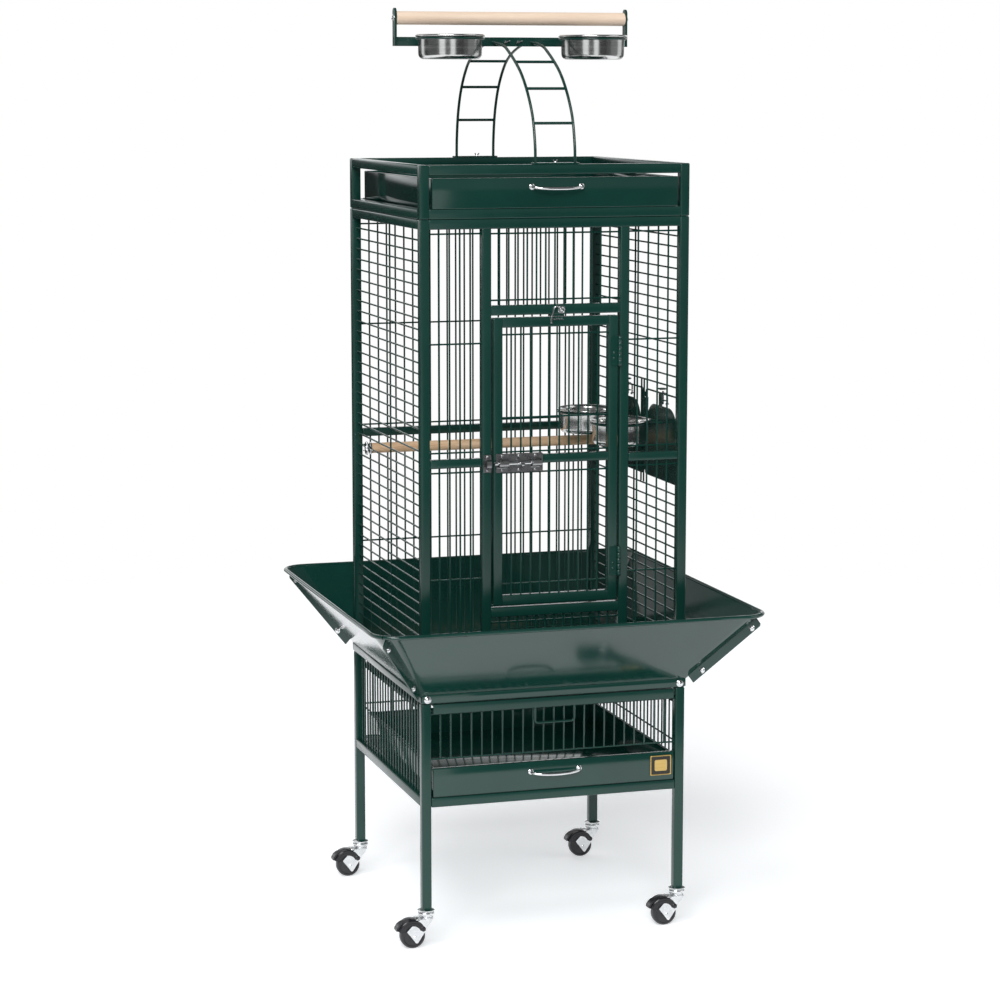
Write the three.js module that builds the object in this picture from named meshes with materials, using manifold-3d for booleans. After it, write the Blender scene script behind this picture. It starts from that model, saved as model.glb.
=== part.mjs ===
// Square bird cage on a wheeled stand: millimetres, +Z up, +X to the right of the door, +Y to the back.
// The origin is on the floor under the middle of the cage.
import * as THREE from 'three';
import { mergeGeometries, mergeVertices } from 'three/addons/utils/BufferGeometryUtils.js';
import { ConvexGeometry } from 'three/addons/geometries/ConvexGeometry.js';
import Module from 'manifold-3d';

const wasm = await Module();
wasm.setup();

// ---- driving dimensions ----
const HALF = 228.5;            // half of the 457 mm square body
const TUBE = 16;               // square tube of frames and posts
const INNER = HALF - TUBE;     // inside face of the posts
const GAP = 0.25;              // clearance between neighbouring pieces
const WIRE = 3;                // wire thickness
const WIRE_PITCH = 15.9;       // spacing of the upright wires
const SIDE_PITCH = 18;         // spacing of the side climbing wires
const WIRE_OUT = HALF - 6.5;   // outer plane of every wall of wire
const WIRE_IN = WIRE_OUT - WIRE;

const LEG_BOTTOM = 64;
const STAND_RAIL = 236;        // underside of the lower stand rails
const TRAY_FLOOR = 252.5;
const TRAY_TOP = 301;
const GRILLE_BASE = 392.25;
const GRILLE_TOP = 408.25;
const BODY_BOTTOM = 410;
const SILL = 547;              // underside of the rail under the door
const MID_RAIL = 796;
const HEADER = 1041;
const BODY_TOP = 1196;
const PLAY_BOTTOM = BODY_TOP + GAP;
const PLAY_TOP = 1282;

const JAMB_IN = 109.5;         // half width of the doorway
const DOOR_HALF = 106.5;
const DOOR_BOTTOM = 566.5;
const DOOR_TOP = 1037;

const GUARD_BOTTOM = 424;      // where the seed guard leaves the body
const GUARD_RIM = 547;
const GUARD_REACH_X = 331;
const GUARD_REACH_Y = 345;

const FEEDER_EDGES = [-44, 131];   // hinge-side edge of each feeder opening
const FEEDER_WIDTH = 157;
const FEEDER_LOW = 749;
const FEEDER_HIGH = 892;
const CUP_SET_BACK = 70;           // cup centre from the hinge-side edge
const CUP_X = 152;
const CUP_RADIUS = 52;
const CUP_RIM = 852;

const PLAY_CUP_X = 124;
const PLAY_CUP_Y = -42;
const PLAY_CUP_RADIUS = 57.5;
const PLAY_CUP_RIM = 1490;
const BAR_Y = 16;                  // front face of the perch crossbar
const BAR_LOW = 1471.5;
const BAR_HIGH = 1486.5;
const FRONT_ARCH = [               // distance from the middle, height
  [220.5, 1284], [219, 1310], [210, 1347], [196, 1373], [172, 1402],
  [143, 1427], [112, 1445], [80, 1460], [48, 1471.5],
];
const BACK_ARCH = [
  [220.5, 1284], [219.5, 1312], [214, 1347], [204, 1377], [189, 1404],
  [168, 1428], [142, 1448], [105, 1463], [62, 1473],
];
const FRONT_RUNGS = [[210, 1347], [172, 1402], [112, 1445]];
const BACK_RUNGS = [[214, 1347], [189, 1404], [142, 1448]];

const WHEEL_RADIUS = 21;
const WHEEL_TRAIL = 24;

const group = new THREE.Group();
group.name = 'bird_cage_on_stand';

// ---- materials ----
function makeMaterial(name, color, roughness, metalness) {
  return { name, color, roughness, metalness };
}
const PAINT = makeMaterial('green_paint', 0x1b4238, 0.35, 0.3);
const STEEL = makeMaterial('stainless_steel', 0xb9bcbe, 0.22, 1.0);
const CHROME = makeMaterial('chrome', 0xd4d7da, 0.12, 1.0);
const PALE_WOOD = makeMaterial('pale_wood', 0xe9d5bd, 0.6, 0.0);
const TAN_WOOD = makeMaterial('tan_wood', 0xd2ab80, 0.65, 0.0);
const BRASS = makeMaterial('brass', 0xb8934a, 0.35, 0.9);
const BLACK = makeMaterial('black_plastic', 0x17191b, 0.5, 0.0);

// ---- solid helpers ----
function toSolid(geometry) {
  const bare = geometry.clone();
  bare.deleteAttribute('normal');
  bare.deleteAttribute('uv');
  const merged = mergeVertices(bare, 1e-4);
  const corners = merged.attributes.position;
  const index = merged.index.array;
  const a = new THREE.Vector3();
  const b = new THREE.Vector3();
  const c = new THREE.Vector3();
  const faces = [];
  let volume = 0;
  for (let i = 0; i < index.length; i += 3) {
    const [p, q, r] = [index[i], index[i + 1], index[i + 2]];
    if (p === q || q === r || r === p) {
      continue;
    }
    faces.push([p, q, r]);
    a.fromBufferAttribute(corners, p);
    b.fromBufferAttribute(corners, q);
    c.fromBufferAttribute(corners, r);
    volume += a.dot(b.cross(c));
  }
  const ordered = volume < 0 ? faces.map(([p, q, r]) => [p, r, q]) : faces;
  const mesh = new wasm.Mesh({
    numProp: 3,
    vertProperties: new Float32Array(corners.array),
    triVerts: new Uint32Array(ordered.flat()),
  });
  return new wasm.Manifold(mesh);
}

function toGeometry(solid) {
  const mesh = solid.getMesh();
  const geometry = new THREE.BufferGeometry();
  geometry.setAttribute('position', new THREE.BufferAttribute(new Float32Array(mesh.vertProperties), 3));
  geometry.setIndex(new THREE.BufferAttribute(new Uint32Array(mesh.triVerts), 1));
  geometry.computeVertexNormals();
  return geometry;
}

function join(pieces) {
  let solid = toSolid(pieces[0]);
  for (const piece of pieces.slice(1)) {
    solid = solid.add(toSolid(piece));
  }
  return toGeometry(solid);
}

function cut(base, tools) {
  let solid = toSolid(base);
  for (const tool of tools) {
    solid = solid.subtract(toSolid(tool));
  }
  return toGeometry(solid);
}

function box(x0, x1, y0, y1, z0, z1) {
  const geometry = new THREE.BoxGeometry(Math.abs(x1 - x0), Math.abs(y1 - y0), Math.abs(z1 - z0));
  geometry.translate((x0 + x1) / 2, (y0 + y1) / 2, (z0 + z1) / 2);
  return geometry;
}

function rod(from, to, radius, sides = 12) {
  const start = new THREE.Vector3(...from);
  const end = new THREE.Vector3(...to);
  const along = end.clone().sub(start);
  const geometry = new THREE.CylinderGeometry(radius, radius, along.length(), sides);
  const turn = new THREE.Quaternion().setFromUnitVectors(new THREE.Vector3(0, 1, 0), along.clone().normalize());
  geometry.applyQuaternion(turn);
  geometry.translate((start.x + end.x) / 2, (start.y + end.y) / 2, (start.z + end.z) / 2);
  return geometry;
}

function addPart(name, geometry, material) {
  const look = new THREE.MeshStandardMaterial({
    color: material.color,
    roughness: material.roughness,
    metalness: material.metalness,
  });
  look.name = material.name;
  const mesh = new THREE.Mesh(geometry, look);
  mesh.name = name;
  group.add(mesh);
  return mesh;
}

// A flat sheet in its own (u, v) plane, with rectangular holes, WIRE thick from w = 0.
function sheet(u0, u1, v0, v1, holes, thickness = WIRE) {
  const base = box(u0, u1, v0, v1, 0, thickness);
  const openings = holes.map(([a0, a1, b0, b1]) => box(a0, a1, b0, b1, -1, thickness + 1));
  return cut(base, [mergeGeometries(openings)]);
}

// Turns a (u, v) sheet so u runs along X and v along Z, with its outer face at the given Y.
function faceFront(geometry, y) {
  geometry.rotateX(Math.PI / 2);
  geometry.translate(0, y + WIRE, 0);
  return geometry;
}

// Turns a (u, v) sheet so u runs along Y and v along Z, starting at the given X.
function faceSide(geometry, x) {
  geometry.rotateX(Math.PI / 2);
  geometry.rotateZ(Math.PI / 2);
  geometry.translate(x, 0, 0);
  return geometry;
}

// Gaps between evenly spaced wires: the spans left open from u0 to u1.
function gapsBetween(u0, u1, pitch) {
  const count = Math.max(1, Math.round((u1 - u0) / pitch) - 1);
  const step = (u1 - u0) / (count + 1);
  const spans = [];
  for (let i = 0; i <= count; i += 1) {
    const from = u0 + i * step + (i === 0 ? 0 : WIRE / 2);
    const to = u0 + (i + 1) * step - (i === count ? 0 : WIRE / 2);
    spans.push([from, to]);
  }
  return spans;
}

// A bay of upright wires held by a thin edge all round.
function uprightBay(u0, u1, v0, v1, pitch = WIRE_PITCH) {
  const holes = gapsBetween(u0 + WIRE, u1 - WIRE, pitch).map(([a, b]) => [a, b, v0 + WIRE, v1 - WIRE]);
  return sheet(u0, u1, v0, v1, holes);
}

// ---- stand ----
function standSide(side) {
  const out = side * HALF;
  const inn = side * INNER;
  const pieces = [];
  for (const end of [-1, 1]) {
    pieces.push(box(out, inn, end * HALF, end * INNER, LEG_BOTTOM, BODY_BOTTOM - GAP));
    const middle = end * (HALF - TUBE / 2);
    const centre = side * (HALF - TUBE / 2);
    pieces.push(box(centre - 15, centre + 15, middle - 15, middle + 15, LEG_BOTTOM - 2.5, LEG_BOTTOM + 0.5));
  }
  pieces.push(box(out, inn, -INNER - 1, INNER + 1, STAND_RAIL, STAND_RAIL + TUBE));
  pieces.push(box(inn + side * 1, inn - side * 8, -INNER - 4.5, INNER + 4.5, GRILLE_BASE - 3.4, GRILLE_BASE - GAP));
  pieces.push(box(inn + side * 1, inn - side * 16, -INNER + GAP, INNER - GAP, TRAY_FLOOR - 3.6, TRAY_FLOOR - GAP));
  return join(pieces);
}

function standCrossRail(end) {
  return box(-INNER + GAP, INNER - GAP, end * HALF, end * INNER, STAND_RAIL, STAND_RAIL + TUBE);
}

function debrisTray() {
  const half = 208;
  const back = 208;
  const wall = 1.5;
  const pieces = [
    box(-half, half, -226, back, TRAY_FLOOR, TRAY_FLOOR + wall),
    box(-half, -half + wall, -226, back, TRAY_FLOOR, TRAY_TOP),
    box(half - wall, half, -226, back, TRAY_FLOOR, TRAY_TOP),
    box(-half, half, back - wall, back, TRAY_FLOOR, TRAY_TOP),
    box(-209.5, 209.5, -HALF, -HALF + 3, TRAY_FLOOR + 1.2, TRAY_TOP),
  ];
  return join(pieces);
}

function bowHandle(y, z, width) {
  const half = width / 2;
  const pieces = [
    box(-half, -half + 8, y - 18, y, z - 4, z + 4),
    box(half - 8, half, y - 18, y, z - 4, z + 4),
    box(-half, half, y - 18, y - 12, z - 4, z + 4),
  ];
  return join(pieces);
}

function floorGrille() {
  const half = 209;
  const holes = [];
  for (const [a, b] of gapsBetween(-half + WIRE, half - WIRE, WIRE_PITCH)) {
    holes.push([a, b, -222, -8]);
    holes.push([a, b, -5, 207]);
  }
  const grid = sheet(-half, half, -226, 210, holes);
  grid.translate(0, 0, GRILLE_BASE);
  const bar = 4;
  const loopY = -HALF;
  const pieces = [
    grid,
    box(-half, half, -HALF, -HALF + 4, GRILLE_BASE, GRILLE_TOP),
    box(-36, -36 + bar, loopY, loopY + bar, 364, GRILLE_BASE + 1),
    box(36 - bar, 36, loopY, loopY + bar, 364, GRILLE_BASE + 1),
    box(-36, 36, loopY, loopY + bar, 364, 364 + bar),
  ];
  return join(pieces);
}

// ---- seed guard ----
// One flared panel: a flange on the body, a sloping sheet, and a rolled rim.
function guardPanel(reach, reachAcross) {
  const sheetThick = 1.6;
  const root = HALF + GAP;
  const seam = 0.4;
  const corner = 40;
  const bend = 12;
  const low = GUARD_BOTTOM;
  const high = GUARD_RIM;
  const points = [];
  for (const [lift, shift] of [[0, 0], [0, sheetThick]]) {
    for (const side of [-1, 1]) {
      points.push(new THREE.Vector3(side * (root - seam), -(root + shift), low + lift));
      points.push(new THREE.Vector3(side * (reachAcross - bend - seam), -(reach - bend + shift), high - 9));
      points.push(new THREE.Vector3(side * (reachAcross - corner), -(reach + shift), high));
    }
  }
  const pieces = [
    new ConvexGeometry(points),
    box(-root + seam, root - seam, -root - sheetThick, -root, low - 12, low + 1),
    rod([-(reachAcross - corner), -reach - 1, high], [reachAcross - corner, -reach - 1, high], 4),
  ];
  return join(pieces);
}

// ---- cage body ----
function bodyFrame(end, extras) {
  const out = end * HALF;
  const inn = end * INNER;
  const pieces = [
    box(-HALF, -INNER, out, inn, BODY_BOTTOM, BODY_TOP),
    box(INNER, HALF, out, inn, BODY_BOTTOM, BODY_TOP),
    box(-INNER - 1, INNER + 1, out, inn, BODY_BOTTOM, BODY_BOTTOM + TUBE),
    box(-INNER - 1, INNER + 1, out, inn, BODY_TOP - TUBE, BODY_TOP),
    ...extras,
  ];
  return join(pieces);
}

function doorwayTubes() {
  const low = BODY_BOTTOM + TUBE - 1;
  const high = BODY_TOP - TUBE + 1;
  const wide = JAMB_IN + TUBE;
  return [
    box(-wide, -JAMB_IN, -HALF, -INNER, low, high),
    box(JAMB_IN, wide, -HALF, -INNER, low, high),
    box(-JAMB_IN - 1, JAMB_IN + 1, -HALF, -INNER, SILL, SILL + TUBE),
    box(-JAMB_IN - 1, JAMB_IN + 1, -HALF, -INNER, HEADER, HEADER + TUBE),
  ];
}

// Wire bays beside the doorway carry the mid rail of the body.
function frontBay(side) {
  const a = side * (JAMB_IN + TUBE + GAP);
  const b = side * (INNER - GAP);
  const u0 = Math.min(a, b);
  const u1 = Math.max(a, b);
  const wires = faceFront(uprightBay(u0, u1, BODY_BOTTOM + TUBE + GAP, BODY_TOP - TUBE - GAP), -WIRE_OUT);
  return join([wires, box(u0, u1, -HALF, -INNER, MID_RAIL, MID_RAIL + 14)]);
}

function centreBay(low, high) {
  const wires = uprightBay(-JAMB_IN + GAP, JAMB_IN - GAP, low + GAP, high - GAP);
  return faceFront(wires, -WIRE_OUT);
}

function backPanel() {
  const low = BODY_BOTTOM + TUBE + GAP;
  const high = BODY_TOP - TUBE - GAP;
  const wires = faceFront(uprightBay(-INNER + GAP, INNER - GAP, low, high), WIRE_IN);
  return join([wires, box(-INNER + GAP, INNER - GAP, INNER, HALF, MID_RAIL, MID_RAIL + 14)]);
}

// Side wall: level climbing wires between a top and a bottom rail.
function sidePanel(side, openings) {
  const low = BODY_BOTTOM + TUBE;
  const high = BODY_TOP - TUBE;
  const edge = INNER - GAP;
  const holes = [];
  for (const [v0, v1] of gapsBetween(low, high, SIDE_PITCH)) {
    const row = [-edge + WIRE, edge - WIRE];
    const inRow = openings.length > 0 && v1 > FEEDER_LOW - 4 && v0 < FEEDER_HIGH + 4;
    if (!inRow) {
      holes.push([row[0], row[1], v0, v1]);
      continue;
    }
    holes.push([openings[0][1] + 4, openings[1][0] - 4, v0, v1]);
    holes.push([openings[1][1] + 4, row[1], v0, v1]);
  }
  for (const [y0, y1] of openings) {
    holes.push([y0, y1, FEEDER_LOW, FEEDER_HIGH]);
  }
  const wires = faceSide(sheet(-edge, edge, low - 1, high + 1, holes), side > 0 ? WIRE_IN : -WIRE_OUT);
  const pieces = [
    wires,
    box(side * HALF, side * INNER, -edge, edge, BODY_BOTTOM, BODY_BOTTOM + TUBE),
    box(side * HALF, side * INNER, -edge, edge, BODY_TOP - TUBE, BODY_TOP),
  ];
  for (const [, y1] of openings) {
    for (const z of [FEEDER_LOW + 4, FEEDER_HIGH - 12]) {
      pieces.push(box(WIRE_OUT - 1, WIRE_OUT + 6, y1 + 3, y1 + 7.5, z, z + 8));
    }
  }
  return join(pieces);
}

function roofGrille() {
  const half = INNER - GAP;
  const holes = [];
  for (const [a, b] of gapsBetween(-half + WIRE, half - WIRE, WIRE_PITCH)) {
    holes.push([a, b, -half + WIRE, half - WIRE]);
  }
  const grid = sheet(-half, half, -half, half, holes);
  grid.translate(0, 0, BODY_TOP - 10);
  return grid;
}

// ---- door ----
function doorFrame() {
  const w = DOOR_HALF;
  return join([
    box(-w, -w + TUBE, -HALF, -INNER, DOOR_BOTTOM, DOOR_TOP),
    box(w - TUBE, w, -HALF, -INNER, DOOR_BOTTOM, DOOR_TOP),
    box(-w + 1, w - 1, -HALF, -INNER, DOOR_BOTTOM, DOOR_BOTTOM + TUBE),
    box(-w + 1, w - 1, -HALF, -INNER, DOOR_TOP - TUBE, DOOR_TOP),
    box(-w + 1, w - 1, -HALF, -INNER, MID_RAIL + 3, MID_RAIL + 17),
  ]);
}

function doorWires(low, high) {
  const half = DOOR_HALF - TUBE - GAP;
  return faceFront(uprightBay(-half, half, low + GAP, high - GAP, 16.4), -WIRE_OUT);
}

function doorHinge(low) {
  const axisX = DOOR_HALF + 1.5;
  const axisY = -HALF - 4;
  return join([
    rod([axisX, axisY, low], [axisX, axisY, low + 48], 3.5),
    box(DOOR_HALF - 13, axisX, -HALF - 2.5, -HALF - GAP, low, low + 48),
  ]);
}

function latchGuide() {
  const z = 801.5;
  const front = -HALF - GAP;
  const plate = box(-103, -23, front - 2, front, 786, 817);
  const left = box(-100, -84, front - 13, front - 1, z - 7, z + 7);
  const right = box(-44, -28, front - 13, front - 1, z - 7, z + 7);
  const body = join([plate, left, right]);
  return cut(body, [rod([-110, front - 7, z], [-10, front - 7, z], 3.6, 16)]);
}

function latchBolt() {
  const z = 801.5;
  const y = -HALF - GAP - 7;
  return join([
    rod([-107, y, z], [-26, y, z], 3.2, 16),
    rod([-62, y + 0.5, z], [-62, y - 12, z], 3, 12),
  ]);
}

function latchKeeper() {
  const z = 801.5;
  const front = -HALF - GAP;
  const body = join([
    box(-124, -110.5, front - 2, front, 790, 813),
    box(-122, -112, front - 13, front - 1, z - 7, z + 7),
  ]);
  return cut(body, [rod([-130, front - 7, z], [-105, front - 7, z], 3.6, 16)]);
}

// ---- feeders ----
function feederDoor(edge) {
  const y0 = edge - FEEDER_WIDTH;
  const cupY = edge - CUP_SET_BACK;
  const face = WIRE_OUT + GAP;
  const round = 38;
  const left = edge - 146;
  const right = edge - 6;
  const shape = new THREE.Shape();
  shape.moveTo(left, FEEDER_LOW - 2);
  shape.lineTo(right, FEEDER_LOW - 2);
  shape.lineTo(right, 872 - round);
  shape.absarc(right - round, 872 - round, round, 0, Math.PI / 2, false);
  shape.lineTo(left + round, 872);
  shape.absarc(left + round, 872 - round, round, Math.PI / 2, Math.PI, false);
  shape.closePath();
  const plate = new THREE.ExtrudeGeometry(shape, { depth: 2, bevelEnabled: false, curveSegments: 5 });
  const ring = new THREE.TorusGeometry(CUP_RADIUS - 2.3, 1.9, 5, 24);
  ring.translate(CUP_X, cupY, CUP_RIM - 6.6);
  const frameHole = [[y0 + 2, edge - 2, FEEDER_LOW + 2, FEEDER_HIGH - 2]];
  const frame = sheet(y0 - 3, edge + 2, FEEDER_LOW - 3, FEEDER_HIGH + 3, frameHole);
  const axisY = edge + 4.6;
  const axisX = face + 4.4;
  return join([
    faceSide(frame, face),
    faceSide(plate, face),
    box(CUP_X + CUP_RADIUS - 3, face + 1, cupY - 5, cupY + 5, CUP_RIM - 9, CUP_RIM - 5),
    ring,
    box(face, axisX, edge - 1, axisY, FEEDER_LOW + 13, FEEDER_HIGH - 13),
    rod([axisX, axisY, FEEDER_LOW + 13], [axisX, axisY, FEEDER_HIGH - 13], 2.4, 10),
    box(face + 1, face + 8, cupY - 8, cupY + 8, 884, 894.5),
  ]);
}

function feederDoorFinished(edge) {
  const boltX = WIRE_OUT + GAP + 5.6;
  const cupY = edge - CUP_SET_BACK;
  return cut(feederDoor(edge), [rod([boltX, cupY, 870], [boltX, cupY, 910], 1.9, 12)]);
}

function feederBolt(edge) {
  const x = WIRE_OUT + GAP + 5.6;
  const y = edge - CUP_SET_BACK;
  return join([
    rod([x, y, 874], [x, y, 897], 1.6, 12),
    rod([x - 0.5, y, 877], [x + 7, y, 877], 1.6, 12),
  ]);
}

function feederKeepers(edges) {
  const x = WIRE_OUT + GAP + 5.6;
  const pieces = [];
  for (const edge of edges) {
    const y = edge - CUP_SET_BACK;
    pieces.push(box(WIRE_OUT - 1, WIRE_OUT + 9.5, y - 6, y + 6, 898.5, 904));
  }
  return { pieces, drill: edges.map((edge) => rod([x, edge - CUP_SET_BACK, 890], [x, edge - CUP_SET_BACK, 910], 2, 12)) };
}

// Round cup turned from its wall profile.
function turnedCup(radius, height, rimZ, x, y) {
  const body = radius - 5;
  const profile = [
    [0, -height], [body - 8, -height], [body, -height + 9], [body, -4], [radius, -2.2], [radius, 0],
    [body - 1.5, 0], [body - 1.5, -height + 9.5], [body - 8.5, -height + 1.5], [0, -height + 1.5],
  ];
  const points = profile.map(([r, h]) => new THREE.Vector2(r, h));
  const geometry = new THREE.LatheGeometry(points, 24);
  geometry.rotateX(Math.PI / 2);
  geometry.translate(x, y, rimZ);
  return join([geometry]);
}

// ---- play stand ----
function playFrame() {
  const pieces = [];
  for (const sx of [-1, 1]) {
    for (const sy of [-1, 1]) {
      pieces.push(box(sx * HALF, sx * INNER, sy * HALF, sy * INNER, PLAY_BOTTOM, PLAY_TOP));
    }
  }
  for (const [z0, z1] of [[PLAY_BOTTOM, PLAY_BOTTOM + TUBE], [PLAY_TOP - TUBE, PLAY_TOP]]) {
    for (const s of [-1, 1]) {
      pieces.push(box(s * HALF, s * INNER, -INNER - 1, INNER + 1, z0, z1));
      pieces.push(box(-INNER - 1, INNER + 1, s * HALF, s * INNER, z0, z1));
    }
  }
  return join(pieces);
}

function playTray() {
  const low = PLAY_BOTTOM + TUBE + GAP;
  const high = 1261;
  const half = 208;
  const wall = 1.5;
  const pieces = [
    box(-half, half, -226, 218, low, low + wall),
    box(-half, -half + wall, -226, 205, low, high),
    box(half - wall, half, -226, 205, low, high),
    box(-half, half, 205 - wall, 205, low, high),
    box(-half, half, -HALF, -HALF + 3, low, high),
  ];
  return join(pieces);
}

// Ladder: two arched side bars over a foot plate, three rungs between them.
// The curve is the distance out from the middle and the height.
function ladder(end, shift, curve, rungs) {
  const bar = 5;
  const tip = end < 0 ? -BAR_Y + GAP : BAR_Y + 4 + GAP;
  const path = curve.concat([[tip, 1479]]);
  const outer = [];
  const inner = [];
  for (let i = 0; i < path.length; i += 1) {
    const before = path[Math.max(0, i - 1)];
    const after = path[Math.min(path.length - 1, i + 1)];
    const run = Math.hypot(after[0] - before[0], after[1] - before[1]);
    let ny = (after[1] - before[1]) / run;
    let nz = -(after[0] - before[0]) / run;
    if (i === path.length - 1) {
      ny = 0;
      nz = 1;
    }
    outer.push([path[i][0] + (ny * bar) / 2, path[i][1] + (nz * bar) / 2]);
    inner.push([path[i][0] - (ny * bar) / 2, path[i][1] - (nz * bar) / 2]);
  }
  const outline = outer.concat(inner.reverse());
  const shape = new THREE.Shape(outline.map(([y, z]) => new THREE.Vector2(end * y, z)));
  const pieces = [];
  for (const x of [shift - 36, shift + 31]) {
    const rail = new THREE.ExtrudeGeometry(shape, { depth: bar, bevelEnabled: false });
    rail.rotateX(Math.PI / 2);
    rail.rotateZ(Math.PI / 2);
    rail.translate(x, 0, 0);
    pieces.push(rail);
  }
  for (const [y, z] of rungs) {
    pieces.push(rod([shift - 33, end * y, z], [shift + 33, end * y, z], 2.4, 10));
  }
  pieces.push(box(shift - 40, shift + 40, end * 213, end * 228, PLAY_TOP + GAP, PLAY_TOP + GAP + 2.5));
  pieces.push(box(shift - 40, shift + 40, tip * (end < 0 ? -1 : 1), (tip + 3) * (end < 0 ? -1 : 1), BAR_LOW, BAR_HIGH));
  return join(pieces);
}

function perchBracket() {
  const pieces = [box(-204, 204, BAR_Y, BAR_Y + 4, BAR_LOW, BAR_HIGH)];
  for (const side of [-1, 1]) {
    pieces.push(box(side * 200.3, side * 204, BAR_Y - 5.5, BAR_Y + 9.5, BAR_LOW, 1534));
    const ring = new THREE.TorusGeometry(PLAY_CUP_RADIUS - 2.3, 2, 5, 24);
    ring.translate(side * PLAY_CUP_X, PLAY_CUP_Y, PLAY_CUP_RIM - 7);
    pieces.push(ring);
    const back = PLAY_CUP_Y + PLAY_CUP_RADIUS - 3.5;
    pieces.push(box(side * PLAY_CUP_X - 9, side * PLAY_CUP_X + 9, back, BAR_Y + 1, 1480.5, 1485));
  }
  return join(pieces);
}

// ---- casters ----
function casterFork(x, y) {
  const wheelX = x - WHEEL_TRAIL;
  const top = LEG_BOTTOM - 2.5 - GAP;
  const across = (reach) => [[wheelX, y - reach, WHEEL_RADIUS], [wheelX, y + reach, WHEEL_RADIUS]];
  const solid = toSolid(join([
    rod([x, y, 46], [x, y, top], 13.5, 16),
    box(wheelX - 8, x, y - 10, y + 10, 42, 50),
    box(wheelX - 8, wheelX + 14, y - 13, y + 13, 14, 46),
    rod(...across(11), WHEEL_RADIUS + 7, 20),
    box(wheelX - 29, wheelX - 18, y - 8, y + 8, 33, 41),
  ]));
  const room = toSolid(rod(...across(10), WHEEL_RADIUS + 1.2, 24));
  const below = toSolid(box(wheelX - 40, wheelX + 40, y - 20, y + 20, -20, 28));
  const arms = toSolid(join([
    box(wheelX - 6, wheelX + 10, y - 13, y - 10, 14, 32),
    box(wheelX - 6, wheelX + 10, y + 10, y + 13, 14, 32),
    rod(...across(13), 3, 12),
  ]));
  return toGeometry(solid.subtract(below).subtract(room).add(arms));
}

function casterWheel(x, y) {
  const wheelX = x - WHEEL_TRAIL;
  const solid = rod([wheelX, y - 9, WHEEL_RADIUS], [wheelX, y + 9, WHEEL_RADIUS], WHEEL_RADIUS, 28);
  return cut(solid, [rod([wheelX, y - 12, WHEEL_RADIUS], [wheelX, y + 12, WHEEL_RADIUS], 3.4, 12)]);
}

// ---- assembly: stand ----
addPart('stand_left_frame', standSide(-1), PAINT);
addPart('stand_right_frame', standSide(1), PAINT);
addPart('stand_front_rail', standCrossRail(-1), PAINT);
addPart('stand_back_rail', standCrossRail(1), PAINT);

const wireEdge = INNER - GAP;
const standTop = BODY_BOTTOM - GAP;
const standLow = STAND_RAIL + TUBE + GAP;
const standBay = (v0, v1) => uprightBay(-wireEdge, wireEdge, v0, v1, 17.6);
addPart('stand_wires_front', faceFront(standBay(315, GRILLE_BASE - 2), -WIRE_OUT), PAINT);
addPart('stand_wires_back', faceFront(standBay(standLow, standTop), WIRE_IN), PAINT);
addPart('stand_wires_left', faceSide(standBay(standLow, standTop), -WIRE_OUT), PAINT);
addPart('stand_wires_right', faceSide(standBay(standLow, standTop), WIRE_IN), PAINT);

addPart('debris_tray', debrisTray(), PAINT);
addPart('debris_tray_handle', bowHandle(-HALF - GAP, 283, 88), CHROME);
addPart('nameplate', box(168, 205, -HALF - GAP - 1.2, -HALF - GAP, 262, 296), BRASS);
addPart('floor_grille', floorGrille(), PAINT);

// ---- assembly: seed guard ----
const frontGuard = guardPanel(GUARD_REACH_Y, GUARD_REACH_X);
addPart('seed_guard_front', frontGuard, PAINT);
addPart('seed_guard_back', frontGuard.clone().rotateZ(Math.PI), PAINT);
const sideGuard = guardPanel(GUARD_REACH_X, GUARD_REACH_Y);
addPart('seed_guard_left', sideGuard.clone().rotateZ(-Math.PI / 2), PAINT);
addPart('seed_guard_right', sideGuard.clone().rotateZ(Math.PI / 2), PAINT);

// ---- assembly: body ----
addPart('front_frame', bodyFrame(-1, doorwayTubes()), PAINT);
addPart('back_frame', bodyFrame(1, []), PAINT);
addPart('front_left_wires', frontBay(-1), PAINT);
addPart('front_right_wires', frontBay(1), PAINT);
addPart('front_top_wires', centreBay(HEADER + TUBE, BODY_TOP - TUBE), PAINT);
addPart('front_lower_wires', centreBay(BODY_BOTTOM + TUBE, SILL), PAINT);
addPart('back_wires', backPanel(), PAINT);
addPart('left_side_wires', sidePanel(-1, []), PAINT);
const feederOpenings = FEEDER_EDGES.map((edge) => [edge - FEEDER_WIDTH, edge]);
const keepers = feederKeepers(FEEDER_EDGES);
addPart('right_side_wires', cut(join([sidePanel(1, feederOpenings), ...keepers.pieces]), keepers.drill), PAINT);
addPart('roof_grille', roofGrille(), PAINT);

// ---- assembly: door ----
addPart('door_frame', doorFrame(), PAINT);
addPart('door_upper_wires', doorWires(MID_RAIL + 17, DOOR_TOP - TUBE), PAINT);
addPart('door_lower_wires', doorWires(DOOR_BOTTOM + TUBE, MID_RAIL + 3), PAINT);
addPart('door_hinge_upper', doorHinge(955), PAINT);
addPart('door_hinge_lower', doorHinge(607), PAINT);
addPart('door_latch_guide', latchGuide(), CHROME);
addPart('door_latch_bolt', latchBolt(), CHROME);
addPart('door_latch_keeper', latchKeeper(), CHROME);

// ---- assembly: feeders and inner perch ----
const feederNames = ['front', 'rear'];
FEEDER_EDGES.forEach((edge, i) => {
  addPart(`feeder_door_${feederNames[i]}`, feederDoorFinished(edge), PAINT);
  addPart(`feeder_bolt_${feederNames[i]}`, feederBolt(edge), CHROME);
  addPart(`feeder_cup_${feederNames[i]}`, turnedCup(CUP_RADIUS, 43, CUP_RIM, CUP_X, edge - CUP_SET_BACK), STEEL);
});
addPart('inner_perch', rod([-WIRE_IN + GAP, 146, 784], [WIRE_IN - GAP, 146, 784], 8.8, 20), TAN_WOOD);

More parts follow.
